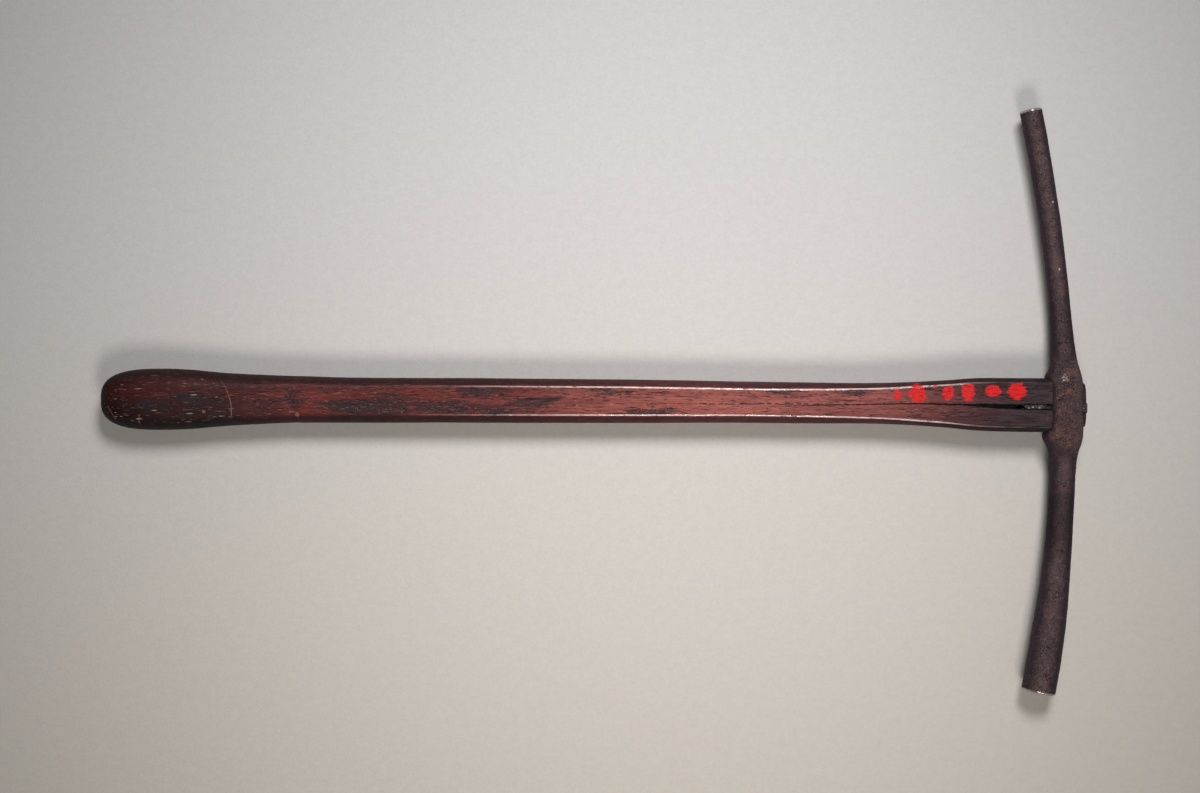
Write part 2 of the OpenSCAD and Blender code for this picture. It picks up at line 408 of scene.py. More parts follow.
class Graph:
    """Short ways of adding nodes to one node tree."""

    def __init__(self, tree: bpy.types.NodeTree) -> None:
        """Works on tree."""
        self.tree = tree

    def node(self, kind: str, **settings: object) -> bpy.types.Node:
        """A new node of that kind, with its settings.

        Args:
            kind: node's type.
            settings: its properties.

        Returns:
            The node.
        """
        made = self.tree.nodes.new(kind)
        for name, value in settings.items():
            setattr(made, name, value)
        return made

    def feed(self, socket: bpy.types.NodeSocket, value: Value) -> None:
        """Links a wire to socket, or sets a plain value there.

        Args:
            socket: an input.
            value: what it gets.
        """
        if isinstance(value, Wire):
            self.tree.links.new(value.socket, socket)
        else:
            socket.default_value = value

    def made(self, kind: str, inputs: Sequence[Value] | dict[str, Value], output: int | str = 0,
             **settings: object) -> Wire:
        """One output of a new node, whose inputs are fed in order, or by name.

        Args:
            kind: node's type.
            inputs: values of its inputs.
            output: which output to give.
            settings: its properties.

        Returns:
            The output.
        """
        node = self.node(kind, **settings)
        named = inputs.items() if isinstance(inputs, dict) else enumerate(inputs)
        for key, value in named:
            self.feed(node.inputs[key], value)
        return Wire(self, node.outputs[output])

    def math(self, operation: str, *values: Value, clamp: bool = False) -> Wire:
        """Result of a Math node on one or two values."""
        return self.made("ShaderNodeMath", values, operation=operation, use_clamp=clamp)

    def most(self, first: Value, *others: Value) -> Wire:
        """The largest of the values.

        Args:
            first: one value.
            others: more values.

        Returns:
            Their maximum.
        """
        for other in others:
            first = self.math("MAXIMUM", first, other)
        return first

    def rest(self, part: Value) -> Wire:
        """1 - part, held between 0 and 1."""
        return self.math("SUBTRACT", 1.0, part, clamp=True)

    def vector(self, operation: str, a: Value, b: Value) -> Wire:
        """Vector result of a Vector Math node on a and b."""
        return self.made("ShaderNodeVectorMath", (a, b), operation=operation)

    def scaled(self, vector: Value, factor: Value) -> Wire:
        """vector times one number."""
        return self.made("ShaderNodeVectorMath", {"Vector": vector, "Scale": factor}, operation="SCALE")

    def split(self, vector: Value) -> tuple[Wire, ...]:
        """The three numbers of a vector."""
        node = self.made("ShaderNodeSeparateXYZ", (vector,)).socket.node
        return tuple(Wire(self, socket) for socket in node.outputs)

    def join(self, x: Value, y: Value, z: Value) -> Wire:
        """A vector from three numbers."""
        return self.made("ShaderNodeCombineXYZ", (x, y, z))

    def noise(self, vector: Value, scale: Value = 1.0, detail: float = 2.0, roughness: float = 0.5,
              coloured: bool = False) -> Wire:
        """A noise texture's value, or its colour, at vector."""
        given = {"Vector": vector, "Scale": scale, "Detail": detail, "Roughness": roughness}
        return self.made("ShaderNodeTexNoise", given, "Color" if coloured else "Fac")

    def cells(self, vector: Value, spacing: Value) -> Wire:
        """How far the nearest of scattered middles is, in parts of spacing."""
        return self.made("ShaderNodeTexVoronoi", {"Vector": vector, "Scale": 1.0 / spacing}, "Distance")

    def remap(self, value: Value, low: Value, high: Value, to_low: Value = 0.0, to_high: Value = 1.0) -> Wire:
        """value taken smoothly from low..high to to_low..to_high, and held there."""
        return self.made("ShaderNodeMapRange", (value, low, high, to_low, to_high),
                         interpolation_type="SMOOTHSTEP", clamp=True)

    def blend(self, factor: Value, a: Value, b: Value, kind: str = "MIX") -> Wire:
        """Colour a at factor 0 and b, mixed in the given way, at factor 1.

        Args:
            factor: how much of b.
            a: a colour.
            b: a colour.
            kind: way of mixing.

        Returns:
            The colour.
        """
        node = self.node("ShaderNodeMix", data_type="RGBA", blend_type=kind, clamp_factor=True)
        for socket, value in zip((node.inputs[0], *node.inputs[6:8]), (factor, a, b)):
            self.feed(socket, value)
        return Wire(self, node.outputs[2])

    def ramp(self, value: Value, stops: Sequence[tuple[float, Colour]]) -> Wire:
        """Colour of value on a ramp through stops.

        Args:
            value: place on the ramp.
            stops: places and colours, rising.

        Returns:
            The colour.
        """
        made = self.made("ShaderNodeValToRGB", (value,))
        elements = made.socket.node.color_ramp.elements
        for place, colour in stops[1:-1]:
            elements.new(place).color = colour
        for k, stop in ((0, stops[0]), (len(elements) - 1, stops[-1])):
            elements[k].position, elements[k].color = stop
        return made

    def at(self, name: str) -> Wire:
        """An output of the texture coordinates: Object or Normal."""
        return self.made("ShaderNodeTexCoord", (), name)

    def mark(self, name: str) -> Wire:
        """Value of a mesh attribute."""
        return self.made("ShaderNodeAttribute", (), "Fac", attribute_name=name)

    def relief(self, height: Value, depth: float) -> Wire:
        """Normal bent by height, which is in parts of depth metres."""
        return self.made("ShaderNodeBump", {"Strength": 1.0, "Distance": depth, "Height": height})

    def group(self, effect: bpy.types.NodeTree, **values: Value) -> dict[str, Wire]:
        """Outputs of a shared effect; spaces in input names are written _.

        Args:
            effect: the node group.
            values: its inputs.

        Returns:
            Its outputs by name.
        """
        node = self.node("ShaderNodeGroup", node_tree=effect)
        for name, value in values.items():
            self.feed(node.inputs[name.replace("_", " ")], value)
        return {socket.name: Wire(self, socket) for socket in node.outputs}


class Effect:
    """A node group under work: its graph and its input wires by name."""

    def __init__(self, name: str, inputs: dict[str, float], outputs: Sequence[str]) -> None:
        """Adds the group and its sockets.

        Args:
            name: group's name.
            inputs: each number input's default, by name; a vector input is always there.
            outputs: names of the number outputs.
        """
        self.tree = bpy.data.node_groups.new(name, "ShaderNodeTree")
        add = self.tree.interface.new_socket
        add(name="Vector", in_out="INPUT", socket_type=SocketKind.VECTOR.value)
        for label, default in inputs.items():
            add(name=label, in_out="INPUT", socket_type=SocketKind.NUMBER.value).default_value = default
        for label in outputs:
            add(name=label, in_out="OUTPUT", socket_type=SocketKind.NUMBER.value)
        self.graph = Graph(self.tree)
        sockets = self.graph.node("NodeGroupInput").outputs
        self.given = {socket.name: Wire(self.graph, socket) for socket in sockets if socket.name}
        self.out = self.graph.node("NodeGroupOutput")

    def finish(self, **results: Wire) -> bpy.types.NodeTree:
        """Feeds the outputs and returns the group.

        Args:
            results: wires by output name.

        Returns:
            The node group.
        """
        for name, result in results.items():
            self.graph.feed(self.out.inputs[name], result)
        return self.tree


class Effects:
    """Shader effects that several finishes share, each built once."""

    def __init__(self) -> None:
        """Builds every effect."""
        self.streaks = self._streaks()
        self.flecks = self._flecks()
        self.patch = self._patch()
        self.pitting = self._pitting()

    @staticmethod
    def _streaks() -> bpy.types.NodeTree:
        """Long thin marks along X, such as wood fibre and pores: stretched, swaying noise.

        Returns:
            The node group.
        """
        effect = Effect("Streaks", {"Length": 12.0, "Width": 0.4, "Waver": 0.3, "From": 0.4, "To": 0.6},
                        ("Mask", "Raw"))
        g, given = effect.graph, effect.given
        sway = g.noise(g.vector("MULTIPLY", given["Vector"], (0.03, 0.12, 0.12)), 1.0, 1.0, coloured=True)
        sway = g.scaled(g.vector("SUBTRACT", sway, (0.5, 0.5, 0.5)), given["Waver"])
        x, y, z = g.split(g.vector("ADD", given["Vector"], g.vector("MULTIPLY", sway, (0, 4, 4))))
        stretched = g.join(x / given["Length"], y / given["Width"], z / given["Width"])
        raw = g.noise(stretched, 1.0, 3.0, 0.55)
        return effect.finish(Raw=raw, Mask=g.remap(raw, given["From"], given["To"]))

    @staticmethod
    def _flecks() -> bpy.types.NodeTree:
        """Small scattered specks, in drifts, stretched along X by Stretch.

        Returns:
            The node group.
        """
        effect = Effect("Flecks", {"Spacing": 1.2, "Size": 0.2, "Stretch": 1.0, "Share": 0.5}, ("Mask",))
        g, given = effect.graph, effect.given
        x, y, z = g.split(given["Vector"])
        wide = g.join(x / given["Stretch"], y, z)
        near = g.cells(wide, given["Spacing"])
        speck = g.remap(near * given["Spacing"], given["Size"] * 0.5, given["Size"], 1.0, 0.0)
        chance = g.made("ShaderNodeSeparateColor", (Wire(g, near.socket.node.outputs["Color"]),))
        return effect.finish(Mask=speck * chance.below(given["Share"]))

    @staticmethod
    def _patch() -> bpy.types.NodeTree:
        """A soft-edged box in the XY plane above the handle's middle, turned by Turn.

        Returns:
            The node group.
        """
        effect = Effect("Patch", {"Centre X": 0.0, "Centre Y": 0.0, "Half Length": 1.0, "Half Width": 1.0,
                                  "Turn": 0.0, "Soft": 0.3}, ("Mask",))
        g, given = effect.graph, effect.given
        centre = g.join(given["Centre X"], given["Centre Y"], 0.0)
        away = g.vector("SUBTRACT", given["Vector"], centre)
        x, y, _ = g.split(g.made("ShaderNodeVectorRotate", {"Vector": away, "Angle": given["Turn"]},
                                 rotation_type="Z_AXIS"))
        over = [g.math("MAXIMUM", (abs(place) - given[half]) / given["Soft"], 0.0)
                for place, half in ((x, "Half Length"), (y, "Half Width"))]
        gone = (over[0] * over[0] + over[1] * over[1]).root()
        return effect.finish(Mask=g.rest(gone) * g.split(given["Vector"])[2].above(MIDDLE_Z))

    @staticmethod
    def _pitting() -> bpy.types.NodeTree:
        """Fine corroded or dented texture: a height and a mask of its hollows.

        Returns:
            The node group.
        """
        effect = Effect("Pitting", {"Coarse": 1.1, "Fine": 0.35}, ("Height", "Hollows"))
        g, given = effect.graph, effect.given
        big = g.cells(given["Vector"], given["Coarse"])
        small = g.noise(given["Vector"], 1.0 / given["Fine"], 4.0, 0.6)
        patchy = g.remap(g.noise(given["Vector"], 0.22, 2.0), 0.42, 0.62)
        hollows = g.remap(big, 0.12, 0.42, 1.0, 0.0) * patchy
        return effect.finish(Height=small - hollows * 0.8, Hollows=hollows)


# ---------------------------------------------------------------- finishes


class Brush:
    """A material under work: its graph, its shader, its colour so far and the point's place."""

    def __init__(self, name: str, effects: Effects) -> None:
        """Starts an empty material, read in millimetres in the hammer's own frame.

        Args:
            name: material's name.
            effects: the shared effects.
        """
        self.material = bpy.data.materials.new(name)
        self.material.use_nodes = True
        self.material.node_tree.nodes.clear()
        self.g = Graph(self.material.node_tree)
        self.shader = self.g.node("ShaderNodeBsdfPrincipled")
        surface = self.g.node("ShaderNodeOutputMaterial").inputs["Surface"]
        self.g.feed(surface, Wire(self.g, self.shader.outputs[0]))
        self.effects = effects
        self.place = self.g.scaled(self.g.at("Object"), 1000.0)
        self.x, self.y, self.z = self.g.split(self.place)
        self.colour: Value = (0.0, 0.0, 0.0, 1.0)

    def moved(self, shift: Triple) -> Wire:
        """The place, shifted to another part of the patterns."""
        return self.g.vector("ADD", self.place, shift)

    def squeezed(self, *factors: float) -> Wire:
        """The place, scaled along each axis."""
        return self.g.vector("MULTIPLY", self.place, factors)

    def cover(self, mask: Value, colour: Value) -> None:
        """Lays a colour over what is there; a triple is a display colour from 0 to 255."""
        shown = colour if isinstance(colour, Wire) else linear(*colour)
        self.colour = self.g.blend(mask, self.colour, shown)

    def tint(self, mask: Value, shade: Triple) -> None:
        """Multiplies what is there by shade."""
        self.colour = self.g.blend(mask, self.colour, (*shade, 1.0), "MULTIPLY")

    def streaks(self, shift: Triple, length: float, width: float, waver: float,
                span: Span) -> dict[str, Wire]:
        """Marks along X: the mask runs from 0 to 1 as the raw noise crosses span.

        Args:
            shift: moves the pattern.
            length: of a mark, in millimetres.
            width: of a mark.
            waver: how much marks sway.
            span: raw values where the mask is 0 and 1.

        Returns:
            Mask and Raw.
        """
        vector = self.moved(shift) if any(shift) else self.place
        return self.g.group(self.effects.streaks, Vector=vector, Length=length, Width=width, Waver=waver,
                            From=span[0], To=span[1])

    def flecks(self, shift: Triple, spacing: float, size: float, stretch: float, share: float) -> Wire:
        """Scattered specks; share of the cells hold one.

        Args:
            shift: moves the pattern.
            spacing: side of a cell, in millimetres.
            size: speck's radius.
            stretch: how much longer it is along X.
            share: part of the cells that hold one.

        Returns:
            The mask.
        """
        vector = self.moved(shift) if any(shift) else self.place
        return self.g.group(self.effects.flecks, Vector=vector, Spacing=spacing, Size=size, Stretch=stretch,
                            Share=share)["Mask"]

    def box(self, mark: Mark, soft: float, vector: Value | None = None) -> Wire:
        """A soft-edged box at a mark's place on the upper side.

        Args:
            mark: place, half sizes and turn.
            soft: width of its edge.
            vector: used instead of the place, if given.

        Returns:
            The mask.
        """
        return self.g.group(self.effects.patch, Vector=vector or self.place, Centre_X=mark.x, Centre_Y=mark.y,
                            Half_Length=mark.half_length, Half_Width=mark.half_width, Turn=mark.turn,
                            Soft=soft)["Mask"]

    def pitting(self, coarse: float, fine: float) -> dict[str, Wire]:
        """Height and hollows of a pitted surface."""
        return self.g.group(self.effects.pitting, Vector=self.place, Coarse=coarse, Fine=fine)

    def finish(self, height: Value, depth: float, **inputs: Value) -> bpy.types.Material:
        """Feeds the colour, the relief and the named inputs, spaces written _, and gives the material.

        Args:
            height: of the relief.
            depth: of the relief, in metres.
            inputs: values of the shader's other inputs.

        Returns:
            The material.
        """
        self.g.feed(self.shader.inputs["Base Color"], self.colour)
        self.g.feed(self.shader.inputs["Normal"], self.g.relief(height, depth))
        for name, value in inputs.items():
            self.g.feed(self.shader.inputs[name.replace("_", " ")], value)
        return self.material


@dataclass(frozen=True)
class Mark:
    """One short mark on the upper side: place, half sizes, turn and strength."""

    x: float
    y: float
    half_length: float
    half_width: float
    turn: float = 0.0
    strength: float = 1.0

    def field(self, x: np.ndarray, y: np.ndarray, soft: float) -> np.ndarray:
        """The mark's strength at each point: an oval bell, 1 / (1 + (distance / half size)^4).

        Args:
            x: places along the handle.
            y: places across it.
            soft: stretches the oval.

        Returns:
            The strength.
        """
        c, s = math.cos(self.turn), math.sin(self.turn)
        along, across = c * (x - self.x) - s * (y - self.y), s * (x - self.x) + c * (y - self.y)
        away = (along / (self.half_length + soft)) ** 2 + (across / (self.half_width + soft / 3)) ** 2
        return self.strength / (1 + away**2)


@dataclass(frozen=True)
class HandleFinish:
    """Worn dark red-brown hardwood: oily at the grip, rubbed in the middle, grimy at the head."""

    ends: Span = (-148.4, 148.4)
    ground: tuple[tuple[float, Triple], ...] = (
        (-148.4, (46, 14, 15)), (-143.0, (62, 20, 19)), (-128.0, (76, 26, 23)), (-112.0, (72, 24, 22)),
        (-100.0, (94, 35, 33)), (-90.0, (122, 50, 45)), (-70.0, (102, 38, 35)), (-50.0, (120, 48, 41)),
        (-25.0, (120, 46, 43)), (-5.0, (148, 76, 67)), (25.0, (174, 95, 84)), (55.0, (174, 98, 88)),
        (85.0, (158, 86, 80)), (100.0, (130, 68, 64)), (114.0, (108, 58, 60)), (130.0, (80, 52, 56)),
        (148.4, (58, 44, 48)),
    )
    crack: Triple = (0.010, 0.006, 0.008)
    worn_patches: tuple[Mark, ...] = (
        Mark(-66.0, -1.7, 14.0, 1.7), Mark(-45.0, -1.5, 12.0, 1.2), Mark(-62.0, 1.4, 5.0, 0.8, 0.0, 0.6),
        Mark(-34.6, 3.0, 6.7, 1.1, 0.0, 0.8), Mark(-17.4, 0.1, 7.0, 1.1, 0.0, 0.9),
        Mark(-28.0, -3.0, 8.0, 1.0, 0.0, 0.7), Mark(-89.5, 1.2, 2.4, 3.6, 0.3, 0.7),
        Mark(-98.0, -1.2, 3.0, 1.2, 0.0, 0.6), Mark(-120.0, 1.0, 7.0, 1.5, 0.0, 0.7),
        Mark(-131.0, -1.0, 5.0, 1.9, 0.0, 0.7), Mark(15.0, -3.2, 9.0, 0.9, 0.0, 0.6),
        Mark(55.0, 3.4, 7.0, 1.0, 0.0, 0.6), Mark(80.0, 3.2, 6.0, 0.9, 0.0, 0.6),
        Mark(4.0, 2.6, 6.0, 0.8, 0.0, 0.6),
    )
    scratches: tuple[Mark, ...] = (
        Mark(-135.7, -5.3, 0.10, 1.3, 0.1, 0.7), Mark(-144.3, -3.1, 0.10, 2.0, -0.5, 0.5),
        Mark(-116.3, -3.0, 0.35, 0.3), Mark(-88.6, -3.9, 0.5, 0.5, 0.5), Mark(136.0, -5.1, 0.3, 0.5, 0.2),
        Mark(131.9, 6.0, 0.5, 0.25, 0.3, 0.8),
    )
    arc_middle: Span = (-123.18, -3.01)
    arc_radius: float = 15.07
    dabs: tuple[Mark, ...] = (
        Mark(91.4, 2.0, 1.1, 1.8, 0.0, 0.8), Mark(97.2, 2.5, 2.0, 2.5, 0.0, 1.3),
        Mark(102.6, 4.5, 0.5, 0.4, 0.0, 0.9), Mark(106.4, 2.6, 1.3, 2.0, 0.0, 1.2),
        Mark(112.4, 2.9, 1.6, 2.4, 0.0, 1.3), Mark(119.8, 3.1, 2.0, 1.7, 0.0, 1.2),
        Mark(127.0, 3.0, 2.3, 2.2, 0.0, 1.3),
    )

    def marks(self, x: np.ndarray, y: np.ndarray, upper: np.ndarray) -> dict[str, np.ndarray]:
        """Soft fields of worn grain and paint at each point of the handle.

        Args:
            x: places along the handle.
            y: places across it.
            upper: 1 on the upper side, 0 below.

        Returns:
            The fields by attribute name.
        """
        return {
            "worn": upper * np.max([m.field(x, y, 1.5) for m in self.worn_patches], 0),
            "paint": upper * np.max([m.field(x, y, 0.3) for m in self.dabs], 0),
        }

    def lay_ground(self, b: Brush) -> None:
        """Colour along the handle; on the grip the lower half darker and the upper half lighter, partly the
        wood's own bands and partly painted shade and a painted sheen; darker towards the long edges; then
        broad bands and fibre.

        Args:
            b: the material under work.
        """
        g, (start, end) = b.g, self.ends
        along = g.math("DIVIDE", b.x - start, end - start, clamp=True)
        b.colour = g.ramp(along, [((at - start) / (end - start), linear(*c)) for at, c in self.ground])
        # Painted shade: the grip's lower half darkened, partly its own darker band of wood.
        b.tint(g.remap(b.y, -4.0, 4.5, 0.75, 0.0) * g.remap(b.x, -118.0, -90.0, 1.0, 0.0), (0.35, 0.3, 0.34))
        b.tint(g.remap(abs(b.y + 0.1), 2.2, 5.0, 0.0, 0.75), (0.55, 0.5, 0.54))
        # Painted sheen: the grip's upper half lightened, partly its own redder band of wood.
        b.tint(g.remap(b.y, 0.5, 3.5) * g.remap(b.x, -116.0, -104.0, 1.0, 0.0), (1.6, 1.5, 1.5))
        for shift, length, width, waver, span, share, shade in (
            ((0, 0, 0), 26.0, 1.6, 0.6, (0.4, 0.6), 0.55, (0.6, 0.46, 0.5)),
            ((71, 23, 9), 7.0, 0.9, 0.5, (0.52, 0.68), 0.5, (1.6, 1.4, 1.15)),
            ((0, 0, 0), 5.0, 0.42, 0.25, (0.36, 0.64), 0.6, (0.5, 0.42, 0.46)),
        ):
            b.tint(b.streaks(shift, length, width, waver, span)["Mask"] * share, shade)

    def lay_worn_grain(self, b: Brush, grit: Wire, ragged: Wire) -> Wire:
        """Dark open grain in ragged patches, salted with pale grit; gives the dark part.

        Args:
            b: the material under work.
            grit: fine noise.
            ragged: long noise along the fibre.

        Returns:
            Mask of the dark part.
        """
        g = b.g
        worn = g.remap(g.mark("worn") - g.remap(ragged, 0.3, 0.7), -0.2, 0.12)
        dark = worn * g.remap(grit, 0.42, 0.56, 0.5, 1.0)
        b.cover(dark * 0.95, (34, 29, 34))
        b.cover(worn * g.remap(grit, 0.6, 0.68) * 0.8, (158, 134, 132))
        return dark

    def lay_pores(self, b: Brush) -> tuple[Wire, Wire]:
        """Short dark pores, each with a painted highlight on one lip, and longer seams; gives pores and both.

        Args:
            b: the material under work.

        Returns:
            Masks of the pores, and of pores and seams together.
        """
        pores = b.streaks((40, 7, 3), 2.6, 0.36, 0.2, (0.6, 0.66))["Mask"]
        # Painted highlight: the same pores shifted a little across the fibre, pale where a lip would catch
        # the light.
        painted_lip_highlights = b.streaks((40.1, 7.26, 3.1), 2.6, 0.36, 0.2, (0.61, 0.67))["Mask"]
        b.cover(painted_lip_highlights * 0.28, (205, 150, 136))
        seams = b.streaks((11, 5, 9), 13.0, 0.55, 0.35, (0.62, 0.67))["Mask"]
        both = b.g.most(pores * 0.75, seams * 0.8)
        b.colour = b.g.blend(both, b.colour, (*self.crack, 1.0))
        return pores, both

    def lay_hairline(self, b: Brush) -> None:
        """The broken hairline that runs ahead of the split.

        Args:
            b: the material under work.
        """
        g = b.g
        sway = (g.noise(b.squeezed(0.2, 0, 0), 1.0, 3.0) - 0.5) * 0.8
        line = g.remap(abs(b.y + (sway + 0.72)), 0.08, 0.26, 1.0, 0.0)
        line = line * (g.remap(b.x, 24.0, 34.0) * g.remap(b.x, 66.0, 74.0, 1.0, 0.0))
        line = line * g.remap(g.noise(b.squeezed(0.45, 0, 0), 1.0, 2.0), 0.4, 0.5)
        b.colour = g.blend(line, b.colour, (*self.crack, 1.0))

    def lay_grip_marks(self, b: Brush, flank: Wire) -> None:
        """Pale dust and painted glints in rows along the grip's fibre, then the curved scratch and the short
        ones.

        Args:
            b: the material under work.
            flank: mask of the sides.
        """
        g = b.g
        rows = b.streaks((9, 2, 5), 14.0, 0.8, 0.2, (0.5, 0.6))["Mask"]
        rows = rows * g.remap(b.x, -120.0, -100.0, 1.0, 0.12) * (1.0 - flank)
        dashes = b.flecks((3, 1, 2), 0.6, 0.16, 9.0, 0.5)
        # Partly pale dust in the pores, partly painted glints off the fibre.
        b.cover(g.most(dashes * 0.8, b.flecks((0, 0, 0), 1.3, 0.2, 3.0, 0.2)) * rows, (244, 222, 210))
        fx, fy = b.x - self.arc_middle[0], b.y - self.arc_middle[1]
        arc = g.remap(abs((fx * fx + fy * fy).root() - self.arc_radius), 0.05, 0.24, 1.0, 0.0)
        arc = arc * (g.remap(b.y, -5.4, -4.2) * g.remap(b.y, 5.6, 6.6, 1.0, 0.0))
        arc = arc * (b.x.above(-115.0) * b.z.above(MIDDLE_Z))
        arc = arc * g.remap(g.noise(b.place, 0.8, 3.0, 0.7), 0.36, 0.56, 0.3, 1.0)
        arc = g.most(arc, *(b.box(mark, 0.2) * mark.strength for mark in self.scratches))
        b.cover(arc * 0.48, (178, 128, 116))

    def lay_crest_highlights(self, b: Brush) -> Wire:
        """Pale crests of the long edges, partly wood rubbed pale and partly a painted highlight; gives their
        mask.

        Args:
            b: the material under work.

        Returns:
            Mask of the rubbed wood and its painted highlight.
        """
        g = b.g
        rub = g.noise(b.squeezed(0.45, 1.4, 1.4), 1.0, 5.0, 0.7)
        reach = g.remap(b.x, -55.0, 15.0, 0.08, 1.0) * g.remap(b.x, 98.0, 122.0, 1.0, 0.25)
        rubbed_and_highlit = g.remap(g.mark("crest"), 0.5, 0.85) * g.remap(rub, 0.34, 0.48) * reach
        # Painted highlight: the crests coloured nearly white, over wood that is also rubbed pale there.
        b.cover(rubbed_and_highlit * 0.88, (255, 226, 218))
        return rubbed_and_highlit

    def lay_paint(self, b: Brush, grit: Wire) -> Wire:
        """Short plain dabs of worn red paint; gives their mask.

        Args:
            b: the material under work.
            grit: fine noise.

        Returns:
            Mask of the paint.
        """
        g = b.g
        bare = g.remap(g.noise(b.squeezed(0.4, 1.2, 1.2), 1.0, 4.0, 0.6), 0.32, 0.66, 0.3, 0.75)
        cover = g.remap(g.mark("paint") - bare, -0.06, 0.16)
        b.cover(cover * 0.94, g.blend(g.remap(grit, 0.35, 0.65), linear(196, 6, 14), linear(255, 18, 22)))
        return cover

    def build(self, effects: Effects) -> bpy.types.Material:
        """The material.

        Args:
            effects: the shared effects.

        Returns:
            The material.
        """
        b = Brush("handle_wood", effects)
        g = b.g
        flank = g.remap(abs(g.split(g.at("Normal"))[2]), 0.6, 0.93, 1.0, 0.0)
        grit = g.noise(b.squeezed(1.3, 2.6, 2.6), 1.0, 4.0, 0.75)
        ragged = g.noise(b.squeezed(0.16, 0.9, 0.9), 1.0, 5.0, 0.75)
        self.lay_ground(b)
        worn_dark = self.lay_worn_grain(b, grit, ragged)
        pores, open_grain = self.lay_pores(b)
        # Painted shade: the sides, found by their normal, darkened to a dull mauve.
        b.tint(flank * 0.95, (0.36, 0.33, 0.46))
        self.lay_hairline(b)
        self.lay_grip_marks(b, flank)
        rubbed_and_highlit = self.lay_crest_highlights(b)
        # Grime and dry fibre towards the head.
        fibre = b.streaks((0, 0, 0), 7.0, 0.5, 0.2, (0.38, 0.62))
        grime = g.remap(b.x, 96.0, 134.0) * g.remap(ragged, 0.34, 0.62, 0.45, 1.0)
        b.cover(grime, g.blend(fibre["Mask"], linear(68, 54, 58), linear(22, 16, 20)))
        cover = self.lay_paint(b, grit)
        # Painted shade: the split's walls coloured nearly black, for the deep shade inside the kerf.
        inside = g.mark("inside")
        b.colour = g.blend(inside, b.colour, (0.004, 0.003, 0.003, 1.0))
        # Gloss: hand polish on the shaft, duller in open grain, in the split and on the sides.
        matt = g.most(g.most(worn_dark, open_grain), g.most(inside, flank))
        rough = g.remap(b.x, 90.0, 118.0, 0.46, 0.66) + matt * 0.28
        wax = g.remap(b.x, 96.0, 122.0, 0.12, 0.03) * g.rest(matt)
        # Relief: fibre, pores and grit.
        height = fibre["Raw"] * (g.remap(b.x, 98.0, 120.0) + 0.4) - pores * 0.6 + grit * 0.5
        return b.finish(height, 0.00016, Roughness=g.math("SUBTRACT", rough, cover * 0.1, clamp=True),
                        Specular_IOR_Level=0.32, Coat_Weight=g.most(wax, rubbed_and_highlit), Coat_Roughness=0.12)


